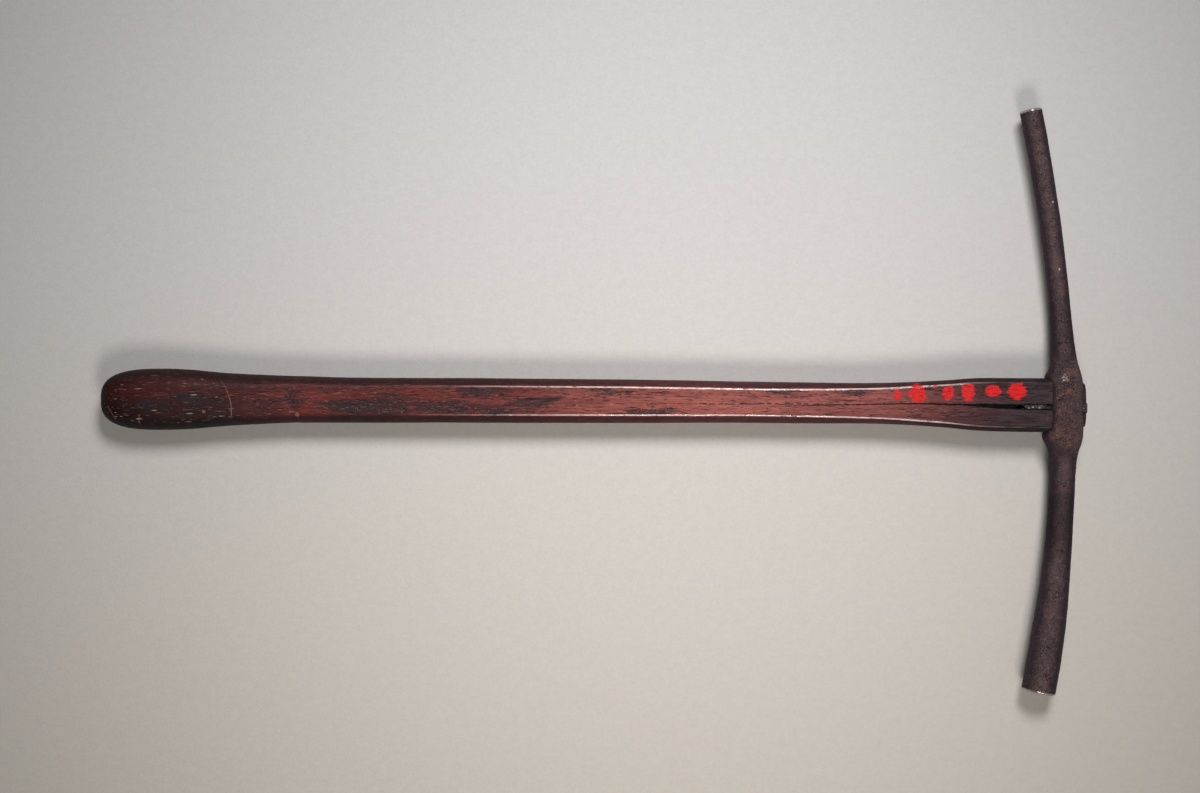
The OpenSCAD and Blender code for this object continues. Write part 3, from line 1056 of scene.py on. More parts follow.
@dataclass(frozen=True)
class IronFinish:
    """Brown-black patina on forged iron, finely pitted, with bright worn rims."""

    patina: Triple = (90, 70, 71)
    deep: Triple = (60, 48, 53)
    rust: Triple = (116, 82, 76)
    steel: Triple = (200, 194, 188)
    chips: tuple[Mark, ...] = (Mark(138.3, 60.0, 0.1, 0.15), Mark(140.2, 39.8, 0.1, 0.15))
    scuff: Mark = Mark(141.2, 7.0, 0.5, 0.7)

    def pale_marks(self, b: Brush) -> Wire:
        """A ragged pale scuff on the boss, two bright chips on the narrow arm, and drifts of specks.

        Args:
            b: the material under work.

        Returns:
            Their mask.
        """
        g = b.g
        wander = g.vector("SUBTRACT", g.noise(b.place, 1.2, 3.0, coloured=True), (0.5, 0.5, 0.5))
        ragged = g.vector("ADD", b.place, g.scaled(wander, 2.2))
        scuff = b.box(self.scuff, 0.5, ragged) * g.remap(g.noise(b.place, 2.2, 2.0), 0.45, 0.55)
        drift = g.remap(g.noise(b.moved((5, 60, 2)), 0.2, 3.0), 0.42, 0.6, 0.1, 1.0)
        specks = b.flecks((0, 0, 0), 0.8, 0.24, 1.0, 0.3) * drift * 0.5
        return g.most(specks, scuff, *(b.box(chip, 0.3) for chip in self.chips))

    def build(self, effects: Effects) -> bpy.types.Material:
        """The material.

        Args:
            effects: the shared effects.

        Returns:
            The material.
        """
        b = Brush("patinated_iron", effects)
        g = b.g
        boss = g.remap(abs(b.y + 1.1), 11.0, 17.0, 1.0, 0.0)
        mottle = g.remap(g.noise(b.place, 0.5, 6.0, 0.72), 0.36, 0.64)
        b.colour = g.blend(mottle, linear(*self.deep), linear(*self.patina))
        warm = g.remap(g.noise(b.moved((31, 12, 5)), 0.22, 5.0, 0.68), 0.48, 0.66)
        b.cover(warm * (boss * 0.45 + 0.35), self.rust)
        pits = b.pitting(0.8, 0.42)
        b.cover(pits["Hollows"] * 0.75, (26, 20, 23))
        b.cover(self.pale_marks(b), (190, 168, 160))
        # Sheen along the crown of the arms and over the boss, from lower roughness there; two stretches of
        # the arms darker and rougher.
        side, _, up = g.split(g.at("Normal"))
        crown = g.most(g.remap(abs(up) - side * 0.12, 0.66, 1.08), boss * g.remap(abs(up), 0.2, 0.85))
        dark_rough_stretches = g.most(g.remap(abs(b.y - 23.0), 3.0, 14.0, 0.5, 0.0),
                      g.remap(abs(b.y + 36.0), 4.0, 15.0, 0.95, 0.0))
        b.tint(dark_rough_stretches, (0.45, 0.44, 0.48))
        salt = g.remap(g.noise(b.place, 2.4, 3.0, 0.7), 0.36, 0.64)
        salt = g.blend(salt, (0.45, 0.42, 0.45, 1.0), (1.7, 1.6, 1.55, 1.0))
        b.colour = g.blend(boss * 0.2 + 0.8, b.colour, salt, "MULTIPLY")
        # Painted shade: everything off the crown and the boss, found by its normal, darkened to a cold
        # brown-black.
        b.tint(1.0 - crown, (0.32, 0.31, 0.46))
        # Bare steel on the rims and the struck faces.
        bare = g.remap(g.mark("rim") + (g.noise(b.place, 0.9, 4.0, 0.7) - 0.5) * 1.6, 0.5, 0.7)
        b.cover(bare, self.steel)
        rough = g.remap(crown, 0.0, 1.0, 0.75, 0.4) + mottle * 0.1 + g.most(pits["Hollows"], dark_rough_stretches) * 0.2
        height = pits["Height"] * (1.0 - bare * 0.7) * (boss + 1.0)
        return b.finish(height, 0.0003, Metallic=bare * 0.9, Roughness=rough - bare * 0.22,
                        Specular_IOR_Level=0.55, Specular_Tint=(1.0, 0.86, 0.86, 1.0))


@dataclass(frozen=True)
class WedgeFinish:
    """Dry grimy wood, split pale where the driven wedge crumbled."""

    ground: Triple = (74, 62, 66)

    def build(self, effects: Effects) -> bpy.types.Material:
        """The material.

        Args:
            effects: the shared effects.

        Returns:
            The material.
        """
        b = Brush("wedge_wood", effects)
        fibre = b.streaks((0, 0, 0), 4.0, 0.3, 0.2, (0.36, 0.64))
        b.colour = b.g.blend(fibre["Mask"], linear(*self.ground), linear(38, 32, 35))
        tip = b.g.remap(b.x, 131.0, 138.0, 1.0, 0.3)
        b.cover(b.flecks((0, 0, 0), 0.6, 0.26, 1.6, 0.45) * (tip * 0.8), (214, 196, 190))
        height = fibre["Raw"] + b.pitting(0.6, 0.2)["Height"] * 0.6
        return b.finish(height, 0.00018, Roughness=fibre["Mask"] * 0.15 + 0.7)


# ---------------------------------------------------------------- the hammer


@dataclass(frozen=True)
class Layout:
    """Where things lie, in millimetres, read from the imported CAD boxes."""

    butt_x: float
    head_x: float
    head_y: float
    mid_z: float
    tenon_end_x: float
    wedge_end_x: float

    @classmethod
    def from_frame(cls) -> Layout:
        """Reads the boxes of the three CAD nodes.

        The boss is the head's deepest place along X, so its middle is half its depth
        back from the head's outermost X; the wedge lies on the head's line.

        Returns:
            The layout.
        """
        handle, head, wedge = (np.array(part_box(n)) / MM for n in ("handle", "head", "wedge"))
        return cls(
            butt_x=handle[0][0],
            head_x=head[1][0] - Head.boss_depth / 2,
            head_y=(wedge[0][1] + wedge[1][1]) / 2,
            mid_z=(head[0][2] + head[1][2]) / 2,
            tenon_end_x=handle[1][0],
            wedge_end_x=wedge[1][0],
        )

    def place(self, x: np.ndarray, y: np.ndarray, z: np.ndarray) -> np.ndarray:
        """Points at x, with y and z counted from the head's line and the middle plane."""
        return np.stack(np.broadcast_arrays(x, self.head_y + y, self.mid_z + z), -1).copy()


@dataclass(frozen=True)
class Arm:
    """Sizes of one arm of the head.

    The arm's middle follows x = -sweep * t^power, y = side * reach * t, with t from 0 to
    1, and the boss's thickness fades to the round arm over fade, beyond run.
    """

    side: float
    reach: float
    sweep: float
    power: float
    shift: float
    rings: int
    run: float
    fade: float
    lip_height: float
    lip_at: float
    lip_half: float
    half: Stations

    def half_depth(self, d: np.ndarray) -> np.ndarray:
        """Half size in the plane of the arms at distance d from the handle's line."""
        return through(self.half, d)

    def half_thick(self, d: np.ndarray) -> np.ndarray:
        """Half size across the tool at distance d: boss thickness fading to a round arm."""
        round_arm = self.half_depth(np.maximum(d, self.run + self.fade)) * 0.99
        return mix(Head.boss_thick / 2, round_arm, smooth((d - self.run) / self.fade))

    def lip(self, d: np.ndarray, level: np.ndarray) -> np.ndarray:
        """How far the eye's rear lip flares out at distance d and level z / half_thick."""
        return self.lip_height * bump(d, self.lip_at, self.lip_half) * np.clip(1 - np.abs(level) ** 3, 0, 1)

    def tilt(self, t: np.ndarray | float) -> np.ndarray:
        """Turn of the arm's own line at t, from the slope of its sweep."""
        return np.arctan(self.sweep * self.power * t ** (self.power - 1) / self.reach)


NARROW_ARM = Arm(
    side=1.0, reach=89.3, sweep=10.45, power=1.7, shift=0.33, rings=330, run=4.6, fade=12.0,
    lip_height=0.75, lip_at=8.9, lip_half=1.5,
    half=(
        (0, 5.3), (5.6, 5.25), (7, 5.1), (8.8, 4.85), (10.6, 4.42), (12.4, 4.05), (14.2, 3.8), (17.8, 3.52),
        (21.5, 3.3), (28.7, 3.14), (36, 3.1), (50, 3.18), (65, 3.26), (80, 3.32), (89.3, 3.36),
    ),
)
BROAD_ARM = Arm(
    side=-1.0, reach=86.8, sweep=7.8, power=2.15, shift=-0.05, rings=322, run=7.6, fade=11.5,
    lip_height=1.0, lip_at=9.6, lip_half=2.6,
    half=(
        (0, 5.3), (5, 5.32), (9, 5.3), (10.6, 5.18), (11.8, 4.95), (13, 4.62), (15.4, 4.15), (17, 3.95),
        (20.2, 3.82), (25.7, 3.8), (31.7, 3.85), (37.8, 3.93), (43.8, 4.06), (50, 4.24), (56, 4.46),
        (62, 4.7), (68, 4.9), (74, 5.05), (80, 5.12), (86.8, 5.1),
    ),
)


@dataclass
class Head:
    """Forged head: an eye boss with a narrow and a broad swept arm."""

    layout: Layout
    effects: Effects
    boss_depth: float = 10.6
    boss_thick: float = 15.6
    boss_power: float = 2.6
    eye_power: float = 3.4
    eye_half_rear: float = 7.7
    eye_half_front: float = 6.7
    eye_half_thick: float = 4.5
    rim_round: float = 0.7
    across: int = 104

    def rear_x(self, y: np.ndarray, z: np.ndarray) -> np.ndarray:
        """X of the boss's rear surface behind a point (y, z), both from the head's own lines.

        It is the superellipse |x/a|^n + |z/b|^n = 1 with the lips' flare added.

        Args:
            y: places along the arms.
            z: heights.

        Returns:
            X of the surface.
        """
        d, n = np.abs(y), self.boss_power
        sides = []
        for arm in (NARROW_ARM, BROAD_ARM):
            level = z / arm.half_thick(d)
            inside = np.clip(1 - np.abs(level) ** n, 0.02, 1) ** (1 / n)
            sides.append(self.layout.head_x - arm.half_depth(d) * inside - arm.lip(d, level))
        return np.where(y >= 0, *sides)

    def eye_half(self, x: np.ndarray) -> np.ndarray:
        """Half width of the eye at x from the head's line, from its rear mouth to its front one."""
        return mix(self.eye_half_rear, self.eye_half_front, (x + self.boss_depth / 2) / self.boss_depth)

    def stations(self, arm: Arm) -> tuple[np.ndarray, np.ndarray, np.ndarray]:
        """Distance along an arm, pull back and inset of each ring, from the middle to the rim.

        Args:
            arm: which one.

        Returns:
            The three, one value for each ring.
        """
        body = np.linspace(0.0, 1.0, arm.rings)[1:]
        d = (arm.reach - self.rim_round) * (0.9 * body + 0.1 * body**2)
        turn = np.linspace(0, math.pi / 2, 9)[1:]
        straight = np.zeros(len(d))
        return (
            np.concatenate([d, np.full(len(turn), arm.reach)]),
            np.concatenate([straight, self.rim_round * (1 - np.sin(turn))]),
            np.concatenate([straight, self.rim_round * (1 - np.cos(turn))]),
        )

    def arm(self, arm: Arm) -> tuple[np.ndarray, np.ndarray]:
        """Rings of one arm.

        Each ring is a superellipse across the arm's line, whose exponent falls from 2.6
        on the boss to 2 on the arm, pushed in and out along its own normal by forging
        unevenness and pits.

        Args:
            arm: which one.

        Returns:
            Points (rings, across, 3) and the rim mark of each.
        """
        d, pull, inset = self.stations(arm)
        t = np.clip((d - pull) / arm.reach, 0, 1)
        tilt = arm.tilt(t)
        cx = self.layout.head_x - arm.sweep * t**arm.power + arm.shift * smooth(d / 16)
        cy = arm.side * (d - pull * np.cos(tilt))
        thick = arm.half_thick(d)
        n = mix(self.boss_power, 2.0, smooth((d - 7) / 10))
        cx, cy, tilt, a, b, thick, n, d, pull = (
            v[:, None] for v in (cx, cy, tilt, arm.half_depth(d) - inset, thick - inset, thick, n, d, pull))
        angle = np.linspace(0, 2 * math.pi, self.across, endpoint=False)[None, :]
        u, v = signed_power(np.cos(angle), 2 / n), signed_power(np.sin(angle), 2 / n)
        nx, nz = signed_power(u, n - 1) / a, signed_power(v, n - 1) / b
        size = np.sqrt(nx**2 + nz**2)
        level = b * v / thick

        def ring(px: np.ndarray, pz: np.ndarray) -> np.ndarray:
            """Points of the rings, px along each ring's own line and pz up."""
            return self.layout.place(cx + px * np.cos(tilt), cy + arm.side * px * np.sin(tilt), pz)

        base = ring(a * u, b * v)
        push = self.unevenness(base) * (0.35 + 0.65 * np.clip((arm.reach - d) / 1.5, 0, 1))
        points = ring(a * u + nx / size * push, b * v + nz / size * push)
        points[..., 0] -= arm.lip(d, level) * np.clip(-u, 0, 1) ** 0.6
        rim = np.clip(1.25 - (arm.reach - d + pull), 0, 0.85) * np.ones_like(push)
        return points, rim

    @staticmethod
    def unevenness(base: np.ndarray) -> np.ndarray:
        """Forging lumps, fine grain and two sizes of pit in drifts, in millimetres outwards.

        Args:
            base: points of the smooth shape.

        Returns:
            The push at each point.
        """
        lump, grain = LatticeNoise(11), LatticeNoise(12)
        push = 0.10 * lump.layers(base, (7, 9, 7), 3) + 0.045 * grain.layers(base, 1.5, 3)
        push -= 0.10 * grain.pits(base, 1.5, 0.75) * smooth(lump.layers(base + 50, 9, 2) * 2 + 0.6)
        push -= 0.16 * lump.pits(base + 20, 3.4, 0.6) * smooth(grain.layers(base + 30, 12, 2) * 2 + 0.35)
        return push

    @staticmethod
    def face(ring: np.ndarray, arm: Arm) -> Patch:
        """Struck face that closes an arm: a slightly crowned, dented disc of worn steel.

        Args:
            ring: the arm's last ring.
            arm: which one.

        Returns:
            The patch.
        """
        tilt = arm.tilt(1.0)
        outward = np.array([-math.sin(tilt), arm.side * math.cos(tilt), 0.0])
        rough = 0.05 * LatticeNoise(15).layers(ring, 1.6, 3)
        return cap_patch(ring, outward, 0.12, rough, flip=arm.side < 0, rim=np.full(len(ring), 0.65))

    def eye_cutter(self) -> bpy.types.Object:
        """Tapered prism of the eye: superellipse rings along X, flared at both mouths.

        Returns:
            The prism.
        """
        x = np.array([-9, -6.5, -5.2, -4.6, -3, 0, 3, 4.4, 5.0, 5.6, 8.0])
        half = self.eye_half(np.clip(x, -self.boss_depth / 2, self.boss_depth / 2))
        flare = 0.35 * smooth((np.abs(x) - 4.2) / 1.6)
        angle = np.linspace(0, 2 * math.pi, 96, endpoint=False)
        u, v = (signed_power(f(angle), 2 / self.eye_power) for f in (np.cos, np.sin))
        points = self.layout.place(self.layout.head_x + x[:, None], (half + flare)[:, None] * u,
                                   (self.eye_half_thick + flare)[:, None] * v)
        points[..., 1:] += 0.05 * LatticeNoise(16).layers(points, 2.0, 2)[..., None]
        return mesh_object("eye_cutter", [
            grid_patch(points, closed=True),
            cap_patch(points[-1], ALONG_X, 0.0), cap_patch(points[0], -ALONG_X, 0.0),
        ], 40)

    def build(self) -> bpy.types.Object:
        """The head, with its eye cut through and its iron finish.

        Returns:
            The piece.
        """
        narrow, narrow_rim = self.arm(NARROW_ARM)
        broad, broad_rim = self.arm(BROAD_ARM)
        rings = np.concatenate([broad[::-1], narrow])
        head = mesh_object("forged_head", [
            grid_patch(rings, closed=True, rim=np.concatenate([broad_rim[::-1], narrow_rim])),
            self.face(rings[-1], NARROW_ARM), self.face(rings[0], BROAD_ARM),
        ], 60)
        cutter = self.eye_cutter()
        cut = head.modifiers.new("eye", "BOOLEAN")
        cut.operation, cut.solver, cut.object = "DIFFERENCE", "EXACT", cutter
        graph = bpy.context.evaluated_depsgraph_get()
        shaped = bpy.data.meshes.new_from_object(head.evaluated_get(graph))
        shaped.name = "forged_head"
        head.modifiers.clear()
        head.data = shaped
        bpy.data.objects.remove(cutter)
        shade(shaped, 55)
        shaped.materials.clear()
        shaped.materials.append(IronFinish().build(self.effects))
        LOG.info("forged_head: %d faces after the eye is cut", len(shaped.polygons))
        return head


@dataclass
class Handle:
    """Hardwood handle: butt, grip, chamfered shaft, shoulder and split tenon."""

    layout: Layout
    effects: Effects
    head: Head
    finish: HandleFinish = HandleFinish()
    dome: float = 19.0
    shoulder_s: float = 285.2
    split_s: float = 202.0
    gap: float = 0.08
    width: Stations = (
        (0, 18.5), (19, 18.5), (26.5, 18.0), (32.6, 16.9), (38.6, 15.9), (44.7, 15.25), (50.7, 14.8),
        (56.8, 14.4), (62.8, 14.1), (70.4, 13.8), (79.4, 13.65), (100, 13.55), (120, 13.45), (138, 13.3),
        (156, 13.15), (174.6, 12.85), (192.7, 12.5), (210.9, 12.35), (224.5, 12.2), (233.5, 12.35),
        (242.6, 12.9), (247.1, 13.3), (251.7, 13.85), (256.2, 14.5), (260.7, 15.35), (265.3, 15.95),
        (269.8, 16.1), (300, 16.2),
    )
    thick: Stations = (
        (0, 14.6), (19, 14.6), (38, 13.1), (58, 11.5), (80, 10.9), (140, 10.5), (224, 10.0), (245, 10.3),
        (268, 10.8), (300, 10.8),
    )
    corner: Stations = (
        (0, 5.4), (25, 5.0), (45, 3.6), (62, 2.3), (85, 1.5), (110, 1.15), (150, 1.0), (240, 0.85),
        (300, 0.7),
    )
    edge_turn: Stations = ((0, 60), (30, 58), (60, 49), (90, 45), (200, 45), (232, 56), (250, 64), (300, 67))
    lean: Stations = (
        (0, 1.75), (62, 1.72), (70.4, 1.58), (99, 1.45), (138, 1.3), (174.6, 1.1), (192.7, 0.91),
        (210.9, 0.7), (247, 0.46), (260.7, 0.3), (280, 0.06), (291, 0.0), (300, 0.0),
    )
    upper_wall: Stations = (
        (170, 0.3), (202, -0.18), (205.4, -0.2), (217.2, 0.1), (230.2, 0.36), (244.1, 0.6), (254.7, 0.44),
        (259.8, 0.4), (265.3, 0.42), (270.4, 0.3), (275.5, 0.18), (287, 0.3), (298, 0.85),
    )
    lower_wall: Stations = (
        (170, 0.3), (202, -0.2), (205.4, -0.26), (217.2, -0.04), (230.2, 0.14), (244.1, 0.32), (254.7, 0.06),
        (259.8, -0.12), (265.3, -0.58), (270.4, -1.0), (275.5, -1.17), (287, -1.5), (298, -2.6),
    )

    def section(self, s: np.ndarray) -> tuple[np.ndarray, ...]:
        """Half of the handle's section at each distance s from the butt.

        From the middle of the top it runs along a flat, turns through a small corner arc
        of radius r to the angle q, and swells round the side on an arc of radius
        R = (b - r(1 - cos q)) / cos q whose middle is on the mid-plane. The lower half
        mirrors it. The domed butt scales the whole by sin(beta)^(2/3) where
        s = dome (1 - cos(beta)^(2/3)).

        Args:
            s: distances from the butt.

        Returns:
            Outward y, height z, the normal's y and z, and how near a long edge, each
            (len(s), points).
        """
        b = through(self.thick, s)[:, None] / 2
        r = np.minimum(through(self.corner, s)[:, None], 0.8 * b)
        q = np.radians(through(self.edge_turn, s))[:, None]
        big = (b - r * (1 - np.cos(q))) / np.cos(q)
        cy = through(self.width, s)[:, None] / 2 - big
        flat_end = cy + (big - r) * np.sin(q)
        f = np.linspace(0, 1, 17)[None, :-1]
        c = np.linspace(0, 1, 9)[None, :-1]
        e = np.linspace(0, 1, 9)[None, :]
        flat, one = 0 * f * b, np.ones_like(b)
        side = mix(q, math.pi / 2, e)
        y = np.concatenate([flat_end * f, flat_end + r * np.sin(q * c), cy + big * np.sin(side)], 1)
        z = np.concatenate([flat + b, b - r + r * np.cos(q * c), big * np.cos(side)], 1)
        ny = np.concatenate([flat, np.sin(q * c), np.sin(side)], 1)
        nz = np.concatenate([flat + 1, np.cos(q * c), np.cos(side)], 1)
        near = np.concatenate([flat, np.sin(math.pi * (c * 0.9 + 0.05)) * one,
                               np.clip(1 - e * 5, 0, 1) * 0.4 * one], 1)
        near = near * np.clip(2.0 - r, 0, 1)
        turn = np.clip(1 - s / self.dome, 0, 1)
        shrink = (np.sqrt(np.clip(1 - turn**3, 0, 1)) ** (2 / 3))[:, None]
        lower = slice(-3, None, -2)
        y, ny, near = (np.concatenate([v, v[:, lower]], 1) for v in (y, ny, near))
        z, nz = (np.concatenate([v, -v[:, lower]], 1) for v in (z, nz))
        return y * shrink, z * shrink, ny, nz, near

    def walls(self, s: np.ndarray) -> tuple[np.ndarray, np.ndarray]:
        """Y of the split's upper and lower wall, from the head's line.

        Before the split starts both are one seam, which eases back to the handle's line.

        Args:
            s: distances from the butt.

        Returns:
            The upper and the lower wall.
        """
        up, low = through(self.upper_wall, s), through(self.lower_wall, s)
        seam = mix(through(self.lean, s), up, smooth((s - 150) / (self.split_s - 150)))
        joined = s <= self.split_s
        return np.where(joined, seam, up), np.where(joined, seam, low)

    def wall(self, s: np.ndarray, side: float) -> np.ndarray:
        """Y of the split's wall on one half."""
        return self.walls(s)[0 if side > 0 else 1]

    @staticmethod
    def pushed_aside(y: np.ndarray, wall: np.ndarray, half: np.ndarray) -> np.ndarray:
        """Section y, its middle moved out to the wall and its outer part left alone."""
        return y + wall[:, None] * np.clip(1 - y / (0.6 * half[:, None]), 0, 1)

    def carving(self, base: np.ndarray, s: np.ndarray, near: np.ndarray, upper: np.ndarray) -> np.ndarray:
        """Hand-worked unevenness, in millimetres outwards.

        Args:
            base: (rows, columns, 3) points of the smooth shape.
            s: (rows,) distances from the butt.
            near: how near a long edge each point is.
            upper: 1 above the middle plane, 0 below.

        Returns:
            Lumps, chipped edges, dry ridges towards the head and two dents, summed.
        """
        lump, fine = LatticeNoise(21), LatticeNoise(22)
        x, y = base[..., 0] - self.layout.butt_x, base[..., 1] - self.layout.head_y
        push = 0.11 * lump.layers(base, (22, 9, 9), 2) + 0.02 * fine.layers(base, (5, 1.5, 1.5), 2)
        chips = np.clip(fine.layers(base + 9, (2.6, 2.0, 2.0), 3) - 0.12, 0, 1)
        push -= near * (0.34 * chips + 0.05 * (1 + lump.layers(base, (6, 3, 3), 2)))
        dry = smooth((s - 246) / 24)[:, None]
        push -= dry * 0.13 * np.clip(lump.layers(base + 5, (14, 0.8, 0.8), 2), 0, 1)
        push -= 0.30 * upper * bump(x, 58.6, 1.6) * bump(y, -1.6, 3.2)
        push -= 0.10 * upper * bump(x, 54.0, 5.0) * smooth(-y / 2)
        return push * smooth(s / 8)[:, None]

    def outside(self, side: float) -> tuple[np.ndarray, np.ndarray, np.ndarray]:
        """The half's outer surface from the butt to the shoulder, which follows the boss.

        Args:
            side: +1 for the half on the narrow arm's side, -1 for the other.

        Returns:
            The points, how near a long edge each is, and the rows' distances from the butt.
        """
        beta = np.radians(np.linspace(0, 90, 46))[:-1]
        s = np.concatenate([
            self.dome * (1 - np.cos(beta) ** (2 / 3)),
            np.linspace(self.dome, self.split_s, 520)[:-1],
            np.linspace(self.split_s, self.shoulder_s, 260),
        ])
        y, z, ny, nz, near = self.section(s)
        centre = through(self.lean, s)
        y = self.pushed_aside(y, side * (self.wall(s, side) - centre), through(self.width, s) / 2)
        points = self.layout.place(self.layout.butt_x + s[:, None], centre[:, None] + side * y, z)
        push = self.carving(points, s, near, (z > 0) * 1.0)
        by_split = 0.35 + 0.65 * np.clip(y / 0.8, 0, 1)
        push = push * np.where((s > self.split_s)[:, None], by_split, 1.0)
        points += np.stack([0 * push, side * ny * push, nz * push], -1)
        # The last stretch slides forward or back to meet the boss.
        local = points - [0, self.layout.head_y, self.layout.mid_z]
        target = self.head.rear_x(local[-1, :, 1], local[-1, :, 2]) - 0.28
        target += 0.16 * LatticeNoise(21).layers(points[-1] * [0, 1, 1] + 3, 2.2, 3)
        stretch = smooth((s - (self.shoulder_s - 6)) / 6)[:, None]
        points[..., 0] += (target - self.layout.butt_x - self.shoulder_s) * stretch
        return points, near, s

    def tenon(self, shoulder: np.ndarray, side: float) -> np.ndarray:
        """Shoulder step and tenon: superellipse rings a gap inside the eye.

        Args:
            shoulder: last row of the outer surface.
            side: +1 or -1, as for outside.

        Returns:
            Rows of points, from just ahead of the shoulder to the tenon's end.
        """
        lay, head, count = self.layout, self.head, len(shoulder)
        x = np.concatenate([[shoulder[:, 0].min() + 0.2], np.linspace(lay.head_x - 4.5, lay.tenon_end_x, 16)])
        half, half_z = head.eye_half(x - lay.head_x) - self.gap, head.eye_half_thick - self.gap
        turn = np.interp(np.arange(count), [0, count * 2 // 3, count - 1], [0, math.pi / 2, math.pi])
        y = half[:, None] * signed_power(np.sin(turn), 2 / head.eye_power)
        z = half_z * signed_power(np.cos(turn), 2 / head.eye_power)
        z[0], z[-1] = half_z, -half_z
        y = self.pushed_aside(y, side * self.wall(x - lay.butt_x, side), half)
        rows = lay.place(x[:, None], side * y, z)
        rows[0, :, 0] = np.maximum(shoulder[:, 0] + 0.35, rows[0, :, 0])
        return rows

    def tongue(self, side: float) -> list[Patch]:
        """One half of the handle, from the seam round to the seam, with its wall of the split.

        Args:
            side: +1 for the half on the narrow arm's side, -1 for the other.

        Returns:
            Patches for the outer surface, the split's wall and the tenon's end.
        """
        points, near, s = self.outside(side)
        tenon = self.tenon(points[-1], side)
        outer = np.concatenate([points, tenon])
        crest = np.concatenate([near, np.zeros(tenon.shape[:2])])
        finish = self.finish.marks(outer[..., 0], outer[..., 1], 1.0 * (outer[..., 2] > self.layout.mid_z))
        # Split wall from the top seam straight down to the bottom seam, torn a little.
        start = int(np.argmax(s >= self.split_s))
        m = np.linspace(0, 1, 12)
        inner = mix(outer[start:, :1], outer[start:, -1:], m[None, :, None])
        open_by = smooth((inner[:, 0, 0] - self.layout.butt_x - self.split_s) / 25)[:, None]
        torn = LatticeNoise(25).layers(inner + side * 7, (5, 1.2, 1.2), 3) * np.sin(math.pi * m)[None, :]
        inner[..., 1] += 0.14 * open_by * torn
        loop = np.concatenate([outer[-1], inner[-1][::-1][1:-1]])
        rough = 0.10 * LatticeNoise(26).layers(loop, 0.9, 3)
        return [
            grid_patch(outer, flip=side > 0, crest=crest, **finish),
            grid_patch(inner, flip=side < 0, inside=smooth((inner[..., 0] - inner[0, 0, 0]) / 3)),
            cap_patch(loop, ALONG_X, 0.05, rough, flip=side > 0),
        ]

    def build(self) -> bpy.types.Object:
        """The handle, both halves joined, with its wood finish.

        Returns:
            The piece.
        """
        piece = mesh_object("hardwood_handle", self.tongue(1.0) + self.tongue(-1.0), 50)
        piece.data.materials.append(self.finish.build(self.effects))
        return piece


@dataclass
class Wedge:
    """Wedge driven into the kerf, with a crumbled tip and a hammered end."""

    layout: Layout
    effects: Effects
    handle: Handle
    length: float = 19.4
    half_height: float = 4.15
    open_height: float = 5.1
    slack: float = 0.05
    power: float = 7.0

    def build(self) -> bpy.types.Object:
        """The wedge.

        Rings along X are superellipses whose thickness fills the space between the
        split's two walls, less a little slack; the tip is torn back unevenly over its
        height, and the sides near it are rough.

        Returns:
            The piece.
        """
        lay = self.layout
        u = np.linspace(0, 1, 110)
        x = lay.wedge_end_x - self.length * (1 - u)
        up, low = self.handle.walls(x - lay.butt_x)
        middle, half = ((up + low) / 2)[:, None], ((up - low) / 2 - self.slack)[:, None]
        angle = np.linspace(0, 2 * math.pi, 88, endpoint=False)
        c, d = (signed_power(f(angle), 2 / self.power) for f in (np.cos, np.sin))
        height = mix(self.open_height, self.half_height, smooth((x - lay.head_x + 7.6) / 1.6))
        points = lay.place(x[:, None], middle + half * c, height[:, None] * d)
        torn = LatticeNoise(31).layers(points * [0, 1.5, 1], 1.3, 3)
        points[..., 0] += 1.4 * torn * smooth(1 - u * 5)[:, None]
        rough = LatticeNoise(32).layers(points, (2.5, 0.8, 0.8), 3)
        points[..., 2] += 0.30 * rough * d[None, :] * (0.3 + 0.7 * smooth(1 - u * 2.2))[:, None]
        end = 0.12 * LatticeNoise(33).layers(points[-1], 0.9, 3)
        piece = mesh_object("driven_wedge", [
            grid_patch(points, closed=True),
            cap_patch(points[-1], ALONG_X, 0.05, end), cap_patch(points[0], -ALONG_X, 0.1, end),
        ], 45)
        piece.data.materials.append(WedgeFinish().build(self.effects))
        return piece


# ---------------------------------------------------------------- the studio


@dataclass(frozen=True)
class Lamp:
    """One round soft lamp: sizes in millimetres, power in watts, beam in degrees."""

    name: str
    place: Triple
    aim: Triple
    power: float
    colour: Triple
    size: float = 230.0
    spread: float = 57.0

    def build(self) -> None:
        """Hangs the lamp, turned towards its aim."""
        data = bpy.data.lights.new(self.name, "AREA")
        data.shape, data.size, data.energy, data.color = "DISK", self.size * MM, self.power, self.colour
        data.spread = math.radians(self.spread)
        lamp = add_object(self.name, data)
        lamp.location = Vector(self.place) * MM
        lamp.rotation_euler = (Vector(self.aim) - Vector(self.place)).to_track_quat("-Z", "Y").to_euler()


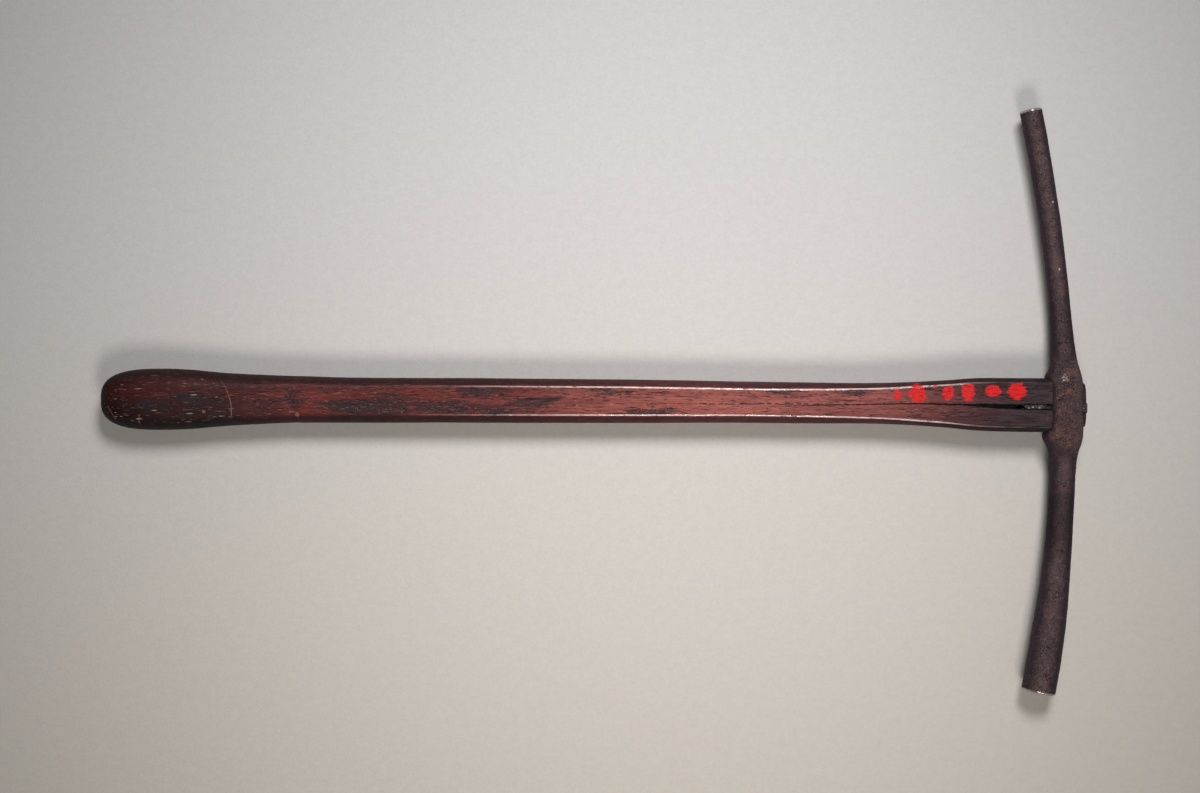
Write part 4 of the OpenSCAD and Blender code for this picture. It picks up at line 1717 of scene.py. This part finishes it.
@dataclass
class Studio:
    """Pale paper, two soft lamps either side, and a camera straight above."""

    mid_z: float
    effects: Effects
    paper_half: float = 1600.0
    paper_far: Triple = (224, 223, 224)
    paper_near_lamp_warmth: Triple = (224, 219, 210)
    camera_distance: float = 600.0
    camera_sensor: float = 36.0
    field_width: float = 362.6
    aim: Span = (2.09, 1.51)
    sky: float = 0.06
    sky_colour: Colour = (0.93, 0.96, 1.0, 1.0)
    lamps: tuple[Lamp, ...] = (
        Lamp("lamp_far", (110, 365, 612), (10, 12, 0), 0.385, (1.0, 0.975, 0.985)),
        Lamp("lamp_near", (110, -398, 590), (10, 0, 0), 0.22, (1.0, 0.94, 0.86)),
    )

    def paper_finish(self) -> bpy.types.Material:
        """Pale grey paper with a faint mottle, and a painted warm tint of the near lamp's light towards the
        near side.

        Returns:
            The material.
        """
        b = Brush("pale_paper", self.effects)
        g = b.g
        # Painted light: the paper warmer towards the near lamp, in the tint of its light.
        b.colour = g.blend(g.remap(b.y, -140.0, 140.0), linear(*self.paper_near_lamp_warmth), linear(*self.paper_far))
        grain = g.noise(b.place, 0.35, 5.0, 0.7) * 0.4 + g.noise(b.place, 0.9, 4.0, 0.8) * 0.6
        b.colour = g.blend(g.remap(grain, 0.36, 0.64, 0.0, 0.12), b.colour, (0.3, 0.3, 0.3, 1.0))
        return b.finish(g.noise(b.place, 1.6, 4.0, 0.7), 0.00012, Roughness=0.95, Specular_IOR_Level=0.15)

    def floor(self) -> None:
        """Lays the sheet of paper that the hammer lies on."""
        half = self.paper_half * MM
        mesh = bpy.data.meshes.new("paper")
        corners = [(-half, -half, 0), (half, -half, 0), (half, half, 0), (-half, half, 0)]
        mesh.from_pydata(corners, [], [(0, 1, 2, 3)])
        mesh.materials.append(self.paper_finish())
        sheet = add_object("paper", mesh)

    def camera(self) -> None:
        """Hangs the camera over its aim, looking straight down, and makes it the scene's."""
        data = bpy.data.cameras.new("camera")
        data.sensor_width = self.camera_sensor
        data.lens = self.camera_sensor * self.camera_distance / self.field_width
        data.clip_start, data.clip_end = 0.01, 20.0
        camera = add_object("camera", data)
        camera.location = Vector((*self.aim, self.mid_z + self.camera_distance)) * MM
        bpy.context.scene.camera = camera

    def build(self) -> None:
        """Adds the paper, lamps, sky and camera to the scene."""
        self.floor()
        for lamp in self.lamps:
            lamp.build()
        world = bpy.data.worlds.new("room")
        world.use_nodes = True
        background = world.node_tree.nodes["Background"]
        background.inputs[0].default_value = self.sky_colour
        background.inputs[1].default_value = self.sky
        scene = bpy.context.scene
        scene.world = world
        scene.view_settings.view_transform = "Standard"
        scene.view_settings.look = "None"
        self.camera()


def place_piece(piece: bpy.types.Object, node: str) -> None:
    """Rides piece on the hammer's one body, in place of a CAD node.

    Args:
        piece: the object.
        node: CAD node that it stands for.
    """
    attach(piece, "root")
    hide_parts(node)
    LOG.info("%s stands for %s", piece.name, node)


def main() -> None:
    """Builds the hammer piece by piece, then the studio round it."""
    logging.basicConfig(level=logging.INFO, format="%(name)s: %(message)s")
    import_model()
    layout = Layout.from_frame()
    LOG.info("layout: %s", layout)
    effects = Effects()
    head = Head(layout, effects)
    handle = Handle(layout, effects, head)
    wedge = Wedge(layout, effects, handle)
    place_piece(head.build(), "head")
    place_piece(handle.build(), "handle")
    place_piece(wedge.build(), "wedge")
    Studio(layout.mid_z, effects).build()


if __name__ == "__main__":
    main()
